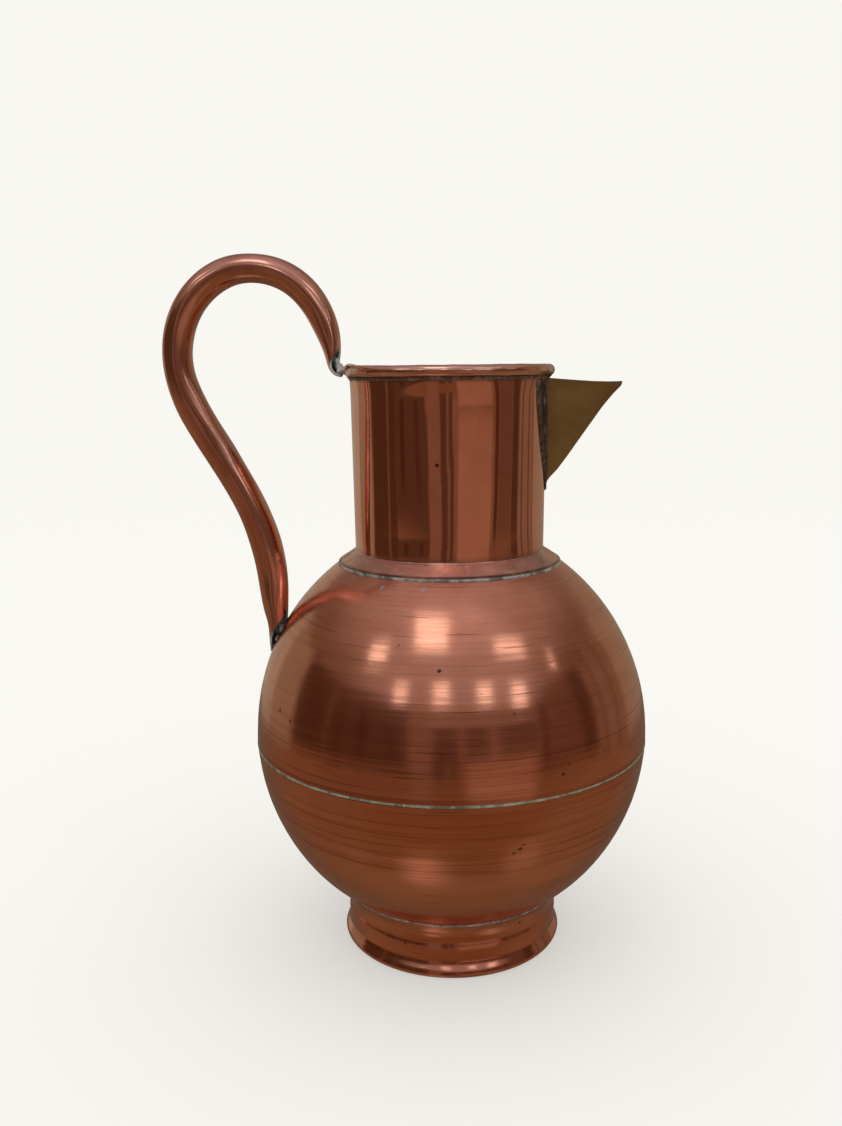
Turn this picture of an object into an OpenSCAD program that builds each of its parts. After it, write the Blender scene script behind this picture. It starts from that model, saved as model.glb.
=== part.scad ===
// Copper water jug: two spun bowls, a rolled neck, a collar, a foot ring,
// a rolled-tube handle and a folded brass spout, all joined with soft solder.
// Millimetres, +Z up. The origin is the centre of the foot on the surface it
// stands on. The handle is on the -X side and the spout on the +X side.

/* [Body] */
// Outer radius of the body at its widest line
body_r = 130; // [129:0.5:131]
// Height of the widest line above the table
equator_z = 145.3; // [144.5:0.1:146]
// Radius of the upper bowl's outer curve
upper_arc = 140.4; // [140:0.1:141]
// Radius of the lower bowl's outer curve
lower_arc = 132.6; // [132:0.1:133]
// Thickness of the bowl sheet
sheet = 1.4; // [1.2:0.1:1.6]
// Height of the solder line between the two bowls
belly_z = 140.8; // [138:0.1:142]
// Width of the solder line between the two bowls
belly_gap = 1.5; // [1:0.1:2]
// How far the lower bowl's lip reaches up inside the upper bowl
lap_h = 8; // [5:0.5:12]
// Radius of the hole at the top of the upper bowl
bowl_mouth_r = 58; // [54:0.5:58.5]

/* [Neck] */
// Outer radius of the neck at the top
neck_r_top = 63; // [62.5:0.1:63.2]
// Outer radius of the neck at the bottom
neck_r_bottom = 61.6; // [61.2:0.1:62]
// Thickness of the neck sheet
neck_sheet = 1.2; // [1:0.1:1.4]
// Width of the slit that the neck's upright seam fills
neck_seam_w = 0.8; // [0.5:0.1:1.5]
// Radius of the collar's outer edge on the shoulder
collar_r = 72; // [70:0.5:76]
// Thickness of the collar sheet
collar_sheet = 1.4; // [1.2:0.1:1.6]
// Height of the collar's lip inside the neck
collar_lip_h = 9; // [5:0.5:15]
// Width of the solder bead round the collar's edge
collar_bead_w = 2.2; // [1.5:0.1:3]

/* [Rim] */
// Height of the centre of the rolled rim
rim_z = 382; // [381.5:0.1:382.5]
// Radius of the rolled rim's section
rim_tube_r = 3.85; // [3.6:0.05:4]
// Radius of the wire inside the rim
rim_wire_r = 2.5; // [2:0.1:2.6]

/* [Foot] */
// Radius of the foot at its waist
foot_waist_r = 70.3; // [70:0.1:70.8]
// Largest radius of the foot near the table
foot_base_r = 73.9; // [73.5:0.1:74.5]
// Thickness of the foot sheet
foot_sheet = 1.3; // [1.1:0.1:1.5]
// Radius of the wire rolled into the foot's edge
foot_wire_r = 2; // [1.6:0.1:2.1]

/* [Handle] */
// Thickness of the handle tube's wall
handle_wall = 1.3; // [1.1:0.1:1.6]
// Width of the slit that the handle's seam fills
handle_seam_w = 0.8; // [0.6:0.1:1.2]

/* [Spout] */
// How far the spout's tip stands out from the jug's axis
spout_reach = 112; // [104:0.2:114]
// Height of the spout's tip
spout_tip_z = 373.3; // [371:0.1:374]
// Half the spout's width where it meets the neck
spout_half_w = 21.5; // [18:0.5:23]
// Slope of the spout's keel, height over length
spout_keel = 1.35; // [1.2:0.01:1.5]
// How far the solder beside the spout reaches over the neck at the top
spout_solder_w = 12.5; // [10:0.5:14]

/* [Hidden] */
$fn = 128;

copper = "#a55a3c";
dark_copper = "#7a3f2c";
brass = "#8f7338";
tin = "#7d807c";

// centres of the two bowl curves, both on the widest line
ucx = body_r - upper_arc;
lcx = body_r - lower_arc;

function arc_pts(cx, cz, r, a0, a1, n) =
  [for (i = [0:n]) let (a = a0 + (a1 - a0) * i / n) [cx + r * cos(a), cz + r * sin(a)]];
// angle on the upper or lower curve at a height or at a radius
function up_ang_z(z, r = upper_arc) = asin((z - equator_z) / r);
function up_ang_r(x, r = upper_arc) = acos((x - ucx) / r);
function lo_ang_z(z, r = lower_arc) = asin((z - equator_z) / r);
function lo_ang_r(x, r = lower_arc) = -acos((x - lcx) / r);
// height of a curve at a radius, and radius at a height
function up_z(x, r = upper_arc) = equator_z + sqrt(r * r - pow(x - ucx, 2));
function up_r(z, r = upper_arc) = ucx + sqrt(r * r - pow(z - equator_z, 2));
function lo_z(x, r = lower_arc) = equator_z - sqrt(r * r - pow(x - lcx, 2));

/* ---- neck ---- */
lip_out = neck_r_bottom - neck_sheet - 0.02;
lip_in = lip_out - collar_sheet;
neck_z0 = up_z(lip_out, upper_arc + collar_sheet) + 0.04;
neck_z1 = rim_z - rim_wire_r - 0.05;
function neck_r(z) = neck_r_bottom + (neck_r_top - neck_r_bottom) * (z - neck_z0) / (neck_z1 - neck_z0);

module neck_solid(grow = 0) {
  translate([0, 0, neck_z0])
    cylinder(h = neck_z1 - neck_z0, r1 = neck_r_bottom + grow, r2 = neck_r_top + grow);
}

module neck_tube() {
  color(copper) difference() {
    neck_solid();
    translate([0, 0, neck_z0 - 1])
      cylinder(h = neck_z1 - neck_z0 + 2,
        r1 = neck_r(neck_z0 - 1) - neck_sheet, r2 = neck_r(neck_z1 + 1) - neck_sheet);
    // slit of the upright seam, on the handle side
    translate([-neck_r_top - 5, -neck_seam_w / 2, neck_z0 - 5])
      cube([20, neck_seam_w, neck_z1 - neck_z0 + 10]);
    // window behind the spout
    translate([40, 0, 0]) rotate([90, 0, 90]) linear_extrude(height = 40)
      polygon([[-15, 372.5], [15, 372.5], [2, 324], [-2, 324]]);
  }
}

module neck_seam_braze() {
  color(tin) intersection() {
    difference() {
      neck_solid();
      translate([0, 0, neck_z0 - 1])
        cylinder(h = neck_z1 - neck_z0 + 2,
          r1 = neck_r(neck_z0 - 1) - neck_sheet, r2 = neck_r(neck_z1 + 1) - neck_sheet);
    }
    translate([-neck_r_top - 5, -neck_seam_w / 2 + 0.03, neck_z0 - 5])
      cube([20, neck_seam_w - 0.06, neck_z1 - neck_z0 + 10]);
  }
}

/* ---- rim ---- */
module rim_bead() {
  color(copper) rotate_extrude() difference() {
    translate([neck_r_top, rim_z]) circle(r = rim_tube_r);
    translate([neck_r_top, rim_z]) circle(r = rim_wire_r);
    translate([neck_r_top - neck_sheet - 0.05, rim_z - rim_tube_r - 1])
      square([neck_sheet + 0.1, rim_tube_r + 1]);
  }
}

module rim_wire() {
  color(dark_copper) rotate_extrude()
    translate([neck_r_top, rim_z]) circle(r = rim_wire_r - 0.04);
}

module rim_solder() {
  z0 = rim_z - rim_tube_r;
  color(tin) rotate_extrude() polygon(concat(
    [[neck_r_top + 0.06, z0], [neck_r_top + 0.06, z0 - 1.7], [neck_r_top + 0.5, z0 - 0.8],
     [neck_r_top + 1.1, z0 - 0.2]],
    arc_pts(neck_r_top, rim_z, rim_tube_r + 0.02, -62, -84, 4)));
}

/* ---- collar ---- */
collar_a = up_ang_r(collar_r, upper_arc);
module neck_collar() {
  ro = upper_arc + collar_sheet;
  ri = upper_arc + 0.03;
  color(copper) rotate_extrude() polygon(concat(
    arc_pts(ucx, equator_z, ro, collar_a, up_ang_r(lip_out, ro), 6),
    [[lip_out, neck_z0 + collar_lip_h], [lip_in, neck_z0 + collar_lip_h]],
    arc_pts(ucx, equator_z, ri, up_ang_r(lip_in, ri), collar_a, 6)));
}

// fillet in the corner between the neck and the collar
module neck_solder_seam() {
  ro = upper_arc + collar_sheet + 0.02;
  x1 = neck_r_bottom + 2.1;
  color(tin) rotate_extrude() polygon(concat(
    [[neck_r_bottom + 0.04, neck_z0 + 1.5], [neck_r_bottom + 0.45, neck_z0 + 0.5]],
    [[neck_r_bottom + 1.1, neck_z0 - 0.45]],
    [for (i = [0:4]) let (x = x1 + (lip_out + 0.15 - x1) * i / 4) [x, up_z(x, ro)]],
    [[neck_r_bottom + 0.04, neck_z0 - 0.03]]));
}

// quarter-round bead along the collar's outer edge
module collar_solder_seam() {
  w = collar_bead_w / upper_arc * 180 / PI;
  color(tin) rotate_extrude() polygon(concat(
    [for (i = [0:10]) let (a = collar_a - 0.01 - w * i / 10,
        r = upper_arc + 0.03 + (collar_sheet + 0.15) * sqrt(1 - pow(i / 10, 2)))
      [ucx + r * cos(a), equator_z + r * sin(a)]],
    arc_pts(ucx, equator_z, upper_arc + 0.02, collar_a - 0.01 - w, collar_a - 0.01, 3)));
}

/* ---- bowls ---- */
up_z0 = belly_z + belly_gap / 2;
lo_z1 = belly_z - belly_gap / 2;

module upper_bowl_outline(grow = 0) {
  ro = upper_arc + grow;
  ri = upper_arc - sheet;
  a0 = up_ang_z(up_z0);
  a1 = up_ang_r(bowl_mouth_r);
  polygon(concat(arc_pts(ucx, equator_z, ro, a0, a1, 26), arc_pts(ucx, equator_z, ri, a1, a0, 26)));
}

module upper_bowl() {
  color(copper) rotate_extrude() upper_bowl_outline();
}

module lower_bowl() {
  ro = lower_arc;
  ri = lower_arc - sheet;
  ut = upper_arc - sheet - 0.05;
  color(copper) rotate_extrude() polygon(concat(
    // outside, from the middle of the bottom to the solder line
    arc_pts(lcx, equator_z, ro, -acos(-lcx / ro), lo_ang_z(lo_z1), 30),
    // step in by the sheet's thickness, then the lip up inside the upper bowl
    [for (i = [0:4]) let (z = lo_z1 + (lap_h + 0.01) * i / 4) [up_r(z, ut), z]],
    [for (i = [0:4]) let (z = lo_z1 + lap_h - (lap_h - 1) * i / 4) [up_r(z, ut) - sheet, z]],
    // inside, back to the middle of the bottom
    arc_pts(lcx, equator_z, ri, lo_ang_z(lo_z1 - 5), -acos(-lcx / ri), 30)));
}

module belly_solder_seam() {
  color(tin) rotate_extrude() intersection() {
    translate([up_r(belly_z) - 0.75, belly_z]) circle(r = 1.15);
    translate([up_r(belly_z) - sheet + 0.02, lo_z1 + 0.02]) square([4, belly_gap - 0.04]);
  }
}

/* ---- foot ---- */
foot_top_r = 74.7;
foot_land_r = 71.2;
hem_r = foot_wire_r + foot_sheet;
hem_x = foot_base_r - hem_r;
hem_z = 3;
// height, and how far the outside stands out from the waist there: a waist, a
// low round ridge, a hollow and a flare down to the rolled edge
FOOT = [[3, 3.55], [4.2, 3.1], [6.5, 2], [9.5, 0.6], [11, 0.1], [13.5, 0.6],
  [17, 1], [20, 0.9], [23, 0], [27, 0.6], [32, 2], [37.5, 4.4]];
function foot_side(z) = foot_waist_r + lookup(z, FOOT);

module foot_ring() {
  flat_a = asin(hem_z / hem_r);
  color(copper) rotate_extrude() polygon(concat(
    // top edge, along the bowl
    [for (i = [0:3]) let (x = foot_land_r + (foot_top_r - foot_land_r) * i / 3) [x, lo_z(x) - 0.03]],
    [for (z = [35:-2:5]) [foot_side(z), z]],
    // edge rolled inwards round the wire, with its underside worn flat
    arc_pts(hem_x, hem_z, hem_r, 0, -flat_a, 6),
    arc_pts(hem_x, hem_z, hem_r, flat_a - 180, -240, 12),
    arc_pts(hem_x, hem_z, foot_wire_r, -240, 50, 24),
    [for (z = [5:2:31]) [foot_side(z) - foot_sheet, z]]));
}

module foot_wire() {
  color(dark_copper) rotate_extrude()
    translate([hem_x, hem_z]) circle(r = foot_wire_r - 0.04);
}

module foot_solder_seam() {
  a0 = lo_ang_r(foot_top_r + 0.02);
  w = 2.1 / lower_arc * 180 / PI;
  color(tin) rotate_extrude() polygon(concat(
    [for (i = [0:8]) let (a = a0 + w * i / 8, r = lower_arc + 0.03 + 0.85 * sin(180 * i / 8))
      [lcx + r * cos(a), equator_z + r * sin(a)]],
    arc_pts(lcx, equator_z, lower_arc + 0.01, a0 + w, a0, 3)));
}

/* ---- handle ----
   Stations from the lower tip to the end under the rim: x, z, width in the
   plane of the handle, depth along Y, how far the hollow breaks out on the
   inner side, how far it breaks out on the outer side. */
HS = [
  [-119.2, 197.5, 3, 12, 6, 0],
  [-118.2, 204, 5.5, 20, 8, 0],
  [-116.6, 211, 9, 23.5, 8, 0],
  [-115.7, 218, 11.6, 24, 7, 0],
  [-116.2, 226, 15.4, 23, 5, 0],
  [-116.8, 235, 18, 22, 2, 0],
  [-117.6, 246, 20.2, 21, 0, 0],
  [-119.4, 260, 20.8, 20.8, 0, 0],
  [-122.4, 274, 21.2, 20.6, 0, 0],
  [-127.2, 288.5, 20.8, 20.6, 0, 0],
  [-133.6, 303, 20.8, 20.6, 0, 0],
  [-141, 317, 21, 20.6, 0, 0],
  [-149.4, 331.5, 21.4, 20.6, 0, 0],
  [-158, 346, 21.2, 20.6, 0, 0],
  [-165.8, 360.5, 21.4, 20.4, 0, 0],
  [-171.4, 375, 20.2, 20.2, 0, 0],
  [-174, 389, 19.6, 20, 0, 0],
  [-173.4, 402.5, 20, 20, 0, 0],
  [-169.6, 416, 20.2, 20, 0, 0],
  [-162.4, 428.5, 20, 19.8, 0, 0],
  [-151.6, 439, 19.6, 19.6, 0, 0],
  [-138.4, 445.6, 19, 19.2, 0, 0],
  [-124.4, 447.4, 18.6, 19, 0, 0],
  [-111, 445.4, 18.6, 19, 0, 0],
  [-99, 439.6, 18.6, 19, 0, 0],
  [-89.2, 430.6, 18.6, 19.2, 0, 0],
  [-81.6, 419, 17.8, 19.6, 0, 0],
  [-76.8, 407, 15.6, 20.2, 0, 0.5],
  [-74.4, 397, 12, 21, 0, 2],
  [-73.7, 389.5, 8.8, 21.6, 0, 4],
  [-73.2, 384.8, 6.4, 21.6, 0, 5],
  [-71, 381.2, 4, 21, 0, 5],
  [-68.4, 379.9, 2.6, 19, 0, 4]];
HN = len(HS) - 1;
// direction of the centreline at a station, as a turn about Y
function h_turn(i) = let (a = HS[max(i - 1, 0)], b = HS[min(i + 1, HN)]) atan2(b[0] - a[0], b[1] - a[1]);

module at_station(i) {
  translate([HS[i][0], 0, HS[i][1]]) rotate([0, h_turn(i), 0]) children();
}

// one ring of points across the handle at station i: from n0 to n1 in the
// plane of the handle, d deep, moved by y along Y
function ring(i, n0, n1, d, y, dx = 0, dz = 0, m = 28) =
  let (b = h_turn(i))
  [for (k = [0:m - 1]) let (t = 360 * (k + 0.5) / m, n = (n0 + n1) / 2 + (n1 - n0) / 2 * cos(t))
    [HS[i][0] + dx + n * cos(b), y + d / 2 * sin(t), HS[i][1] + dz - n * sin(b)]];

module tube(rings) {
  m = len(rings[0]);
  r = len(rings);
  polyhedron(points = [for (q = rings) each q],
    faces = concat(
      [[for (k = [0:m - 1]) k]],
      [[for (k = [m - 1:-1:0]) (r - 1) * m + k]],
      [for (j = [0:r - 2]) for (k = [0:m - 1]) [j * m + k, (j + 1) * m + k, j * m + (k + 1) % m]],
      [for (j = [0:r - 2]) for (k = [0:m - 1]) [j * m + (k + 1) % m, (j + 1) * m + k, (j + 1) * m + (k + 1) % m]]));
}

function outer_ring(i) = ring(i, -HS[i][2] / 2, HS[i][2] / 2, HS[i][3], 0);
// the hollow: the open ends turn a little towards the front
function void_ring(i, dx = 0, dz = 0) =
  let (n1 = HS[i][2] / 2 - handle_wall + HS[i][4],
       n0 = min(n1 - 0.3, -HS[i][2] / 2 + handle_wall - HS[i][5]))
  ring(i, n0, n1, HS[i][3] - 2 * handle_wall + 0.5 * HS[i][4], -0.35 * HS[i][4], dx, dz);

module handle_outer() {
  tube([for (i = [0:HN]) outer_ring(i)]);
}

module handle_void() {
  tube(concat([void_ring(0, 0.4, -6)], [for (i = [0:HN]) void_ring(i)], [void_ring(HN, 5, 0.6)]));
}

module seam_chain(lo, hi, w, i0, i1) {
  for (i = [i0:i1 - 1]) hull() for (k = [i, i + 1])
    at_station(k) translate([HS[k][2] / 2 + lo, -w / 2, -0.02]) cube([hi - lo, w, 0.04]);
}

// the round body's outside, a hair larger, that the handle and solder sit on
module body_round(grow = 0.08) {
  rotate_extrude($fn = 180) polygon(concat([[0, 160]],
    arc_pts(ucx, equator_z, upper_arc + grow, up_ang_z(160), up_ang_r(bowl_mouth_r), 24),
    [[0, up_z(bowl_mouth_r)]]));
}

module rim_round(grow = 0.08) {
  rotate_extrude($fn = 180) translate([neck_r_top, rim_z]) circle(r = rim_tube_r + grow, $fn = 48);
}

module handle_tube() {
  color(dark_copper) difference() {
    handle_outer();
    handle_void();
    seam_chain(-handle_wall - 0.6, 0.8, handle_seam_w, 6, HN - 5);
    body_round();
    rim_round();
  }
}

module handle_seam_braze() {
  color(tin) seam_chain(-handle_wall + 0.08, -0.1, handle_seam_w - 0.1, 6, HN - 5);
}

module handle_top_solder() {
  color(tin) difference() {
    hull() {
      translate([-71.4, 0, 392]) scale([1, 4, 2]) sphere(r = 1, $fn = 24);
      translate([-69.8, 0, 385.6]) scale([1, 2.8, 1]) sphere(r = 2.6, $fn = 28);
      translate([-68.2, 0, 382.4]) scale([1, 3.4, 1]) sphere(r = 2.4, $fn = 28);
    }
    handle_walls();
    rim_round();
  }
}

module handle_lower_solder() {
  color(tin) difference() {
    hull() {
      translate([-116.6, -1, 201.5]) scale([1, 3, 1]) sphere(r = 2.4, $fn = 28);
      translate([-114.6, -1, 208]) scale([1, 3.2, 1]) sphere(r = 2.6, $fn = 28);
      translate([-112.4, -1, 214]) scale([1, 4, 1]) sphere(r = 1.8, $fn = 28);
    }
    handle_walls();
    body_round();
  }
}

// the tube's walls without the seam slit
module handle_walls() {
  difference() {
    handle_outer();
    handle_void();
  }
}

/* ---- spout ---- */
spout_in = 50;
spout_dx = spout_reach - spout_in;
spout_root_x = sqrt(pow(neck_r_top, 2) - pow(spout_half_w, 2));
spout_k = spout_half_w / (spout_reach - spout_root_x);

module spout_wedge() {
  // a pointed wedge: the tip, the two top corners and the keel's inner end
  polyhedron(points = [
      [spout_reach, 0, spout_tip_z],
      [spout_in, spout_k * spout_dx, spout_tip_z + 0.05 * spout_dx],
      [spout_in, -spout_k * spout_dx, spout_tip_z + 0.05 * spout_dx],
      [spout_in, 0, spout_tip_z - spout_keel * spout_dx]],
    faces = [[0, 2, 1], [0, 1, 3], [0, 3, 2], [1, 2, 3]]);
}

module spout() {
  color(brass) difference() {
    spout_wedge();
    translate([-2, 0, 1.8]) spout_wedge();
    neck_solid(0.03);
  }
}

module spout_solder() {
  apex = spout_tip_z - spout_keel * (spout_reach - neck_r_top);
  top = spout_tip_z + 0.05 * (spout_reach - neck_r_top) - 0.6;
  h = spout_half_w + spout_solder_w;
  color(tin) difference() {
    intersection() {
      neck_solid(1.6);
      translate([30, 0, 0]) rotate([90, 0, 90]) linear_extrude(height = 40)
        polygon([[-h, top], [h, top], [h - 4, apex + 49], [h - 8.5, apex + 33], [h - 12.5, apex + 22],
          [12, apex + 10], [5, apex - 3], [0, apex - 7], [-5, apex - 3], [-12, apex + 10],
          [12.5 - h, apex + 22], [8.5 - h, apex + 33], [4 - h, apex + 49]]);
    }
    neck_solid(0.03);
    translate([0.06, 0, -0.04]) spout_wedge();
    translate([0, 0, 1]) spout_wedge();
  }
}

neck_tube();
neck_seam_braze();
rim_bead();
rim_wire();
rim_solder();
neck_collar();
neck_solder_seam();
collar_solder_seam();
upper_bowl();
lower_bowl();
belly_solder_seam();
foot_ring();
foot_wire();
foot_solder_seam();
handle_tube();
handle_seam_braze();
handle_top_solder();
handle_lower_solder();
spout();
spout_solder();
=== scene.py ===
import math
import random
import bpy
import bmesh
import numpy as np
from mathutils import Matrix, Vector

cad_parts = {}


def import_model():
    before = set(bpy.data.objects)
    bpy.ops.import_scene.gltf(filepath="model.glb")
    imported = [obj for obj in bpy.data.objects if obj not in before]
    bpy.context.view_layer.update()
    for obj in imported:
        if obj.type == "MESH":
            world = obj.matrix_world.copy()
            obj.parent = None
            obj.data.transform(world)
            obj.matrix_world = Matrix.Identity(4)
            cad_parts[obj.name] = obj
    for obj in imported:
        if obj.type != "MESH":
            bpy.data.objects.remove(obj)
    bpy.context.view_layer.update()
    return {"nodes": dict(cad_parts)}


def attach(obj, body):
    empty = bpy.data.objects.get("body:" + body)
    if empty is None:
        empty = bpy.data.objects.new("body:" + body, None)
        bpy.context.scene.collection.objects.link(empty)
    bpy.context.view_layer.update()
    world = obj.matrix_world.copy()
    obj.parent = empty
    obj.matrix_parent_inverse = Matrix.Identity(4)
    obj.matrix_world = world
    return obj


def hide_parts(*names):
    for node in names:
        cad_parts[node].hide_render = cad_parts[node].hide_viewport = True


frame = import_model()

MM = 0.001
PI = math.pi

# ------------------------------------------------------------------ the jug's numbers, mm
SHEET = 1.4
EZ = 145.3                      # height of the widest line
UC, UR = -10.4, 140.4           # upper bowl's arc
LC, LR = -2.6, 132.6            # lower bowl's arc
BELLY = 140.8
MOUTH_R = 58.0
COLLAR_R = 72.0
NECK_R0, NECK_R1, NECK_T = 61.6, 63.0, 1.2
NECK_Z0, NECK_Z1 = 268.2, 379.4
RIM_Z, RIM_R, WIRE_R = 382.0, 3.85, 2.5
FOOT_TOP_R = 74.7


def up_z(r, R=UR):
    return EZ + np.sqrt(R * R - (r - UC) ** 2)


def up_r(z, R=UR):
    return UC + np.sqrt(R * R - (z - EZ) ** 2)


def lo_z(r, R=LR):
    return EZ - np.sqrt(R * R - (r - LC) ** 2)


def lo_r(z, R=LR):
    return LC + np.sqrt(R * R - (z - EZ) ** 2)


def neck_r(z):
    return NECK_R0 + (NECK_R1 - NECK_R0) * (z - NECK_Z0) / (NECK_Z1 - NECK_Z0)


# ------------------------------------------------------------------ mesh helpers
def smoothstep(x, a=0.0, b=1.0):
    t = np.clip((x - a) / (b - a), 0.0, 1.0)
    return t * t * (3 - 2 * t)


class Wave:
    """A smooth unevenness over a turned surface, about -1 to 1. th in radians, s in mm along it."""

    def __init__(self, seed, n=14, kmin=1, kmax=9, length=60.0):
        rng = random.Random(seed)
        self.t = []
        for _ in range(n):
            k = rng.randint(kmin, kmax)
            w = rng.uniform(-1, 1) * 2 * PI / length
            self.t.append((k, w, rng.uniform(0, 2 * PI), rng.uniform(0.5, 1.0)))
        self.norm = 1.6 * math.sqrt(sum(a * a for _, _, _, a in self.t) / 2)

    def __call__(self, th, s):
        v = 0.0
        for k, w, p, a in self.t:
            v = v + a * np.cos(k * th + w * s + p)
        return np.clip(v / self.norm, -1.4, 1.4)


def new_mesh(name, verts, faces, sharp=38.0, merge=0.0, recalc=True):
    me = bpy.data.meshes.new(name)
    me.from_pydata((np.asarray(verts, dtype=float) * MM).tolist(), [], faces)
    bm = bmesh.new()
    bm.from_mesh(me)
    if merge:
        bmesh.ops.remove_doubles(bm, verts=bm.verts, dist=merge * MM)
        bmesh.ops.dissolve_degenerate(bm, edges=bm.edges, dist=merge * MM * 0.5)
    if recalc:
        bmesh.ops.recalc_face_normals(bm, faces=bm.faces)
    bm.to_mesh(me)
    bm.free()
    me.shade_smooth()
    me.set_sharp_from_angle(angle=math.radians(sharp))
    ob = bpy.data.objects.new(name, me)
    bpy.context.scene.collection.objects.link(ob)
    return ob


def loft(name, P, wrap=True, sharp=38.0, merge=0.0):
    """P (I, J, 3) mm: I closed outlines of J points. wrap joins the last outline to the first; else both ends get caps."""
    P = np.asarray(P, dtype=float)
    I, J = P.shape[:2]
    n = I if wrap else I - 1
    a = np.arange(n)[:, None] * J
    b = (np.arange(1, n + 1)[:, None] % I) * J
    j = np.arange(J)[None, :]
    k = (j + 1) % J
    faces = np.stack([a + j, b + j, b + k, a + k], -1).reshape(-1, 4).tolist()
    if not wrap:
        faces.append(list(range(J - 1, -1, -1)))
        faces.append(list(range((I - 1) * J, I * J)))
    return new_mesh(name, P.reshape(-1, 3), faces, sharp, merge)


def turned(name, r, z, th, wrap=True, sharp=38.0, merge=0.0):
    """Outlines r, z (I, J) mm at angles th (I,)."""
    t = th[:, None]
    return loft(name, np.stack([r * np.cos(t), r * np.sin(t), z + 0 * r], -1), wrap, sharp, merge)


def around(n, start=-PI):
    return start + np.arange(n) * 2 * PI / n


def arc(cx, cz, R, a0, a1, n):
    a = np.radians(np.linspace(a0, a1, n))
    return np.stack([cx + R * np.cos(a), cz + R * np.sin(a)], -1)


def applied(ob):
    """Applies the object's modifiers to its mesh."""
    deps = bpy.context.evaluated_depsgraph_get()
    me = bpy.data.meshes.new_from_object(ob.evaluated_get(deps))
    ob.modifiers.clear()
    old = ob.data
    ob.data = me
    bpy.data.meshes.remove(old)
    return ob


def place(ob, mat, slot, *nodes):
    ob.data.materials.clear()
    ob.data.materials.append(mat)
    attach(ob, "root")
    if nodes:
        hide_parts(*nodes)
    return ob


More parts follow.
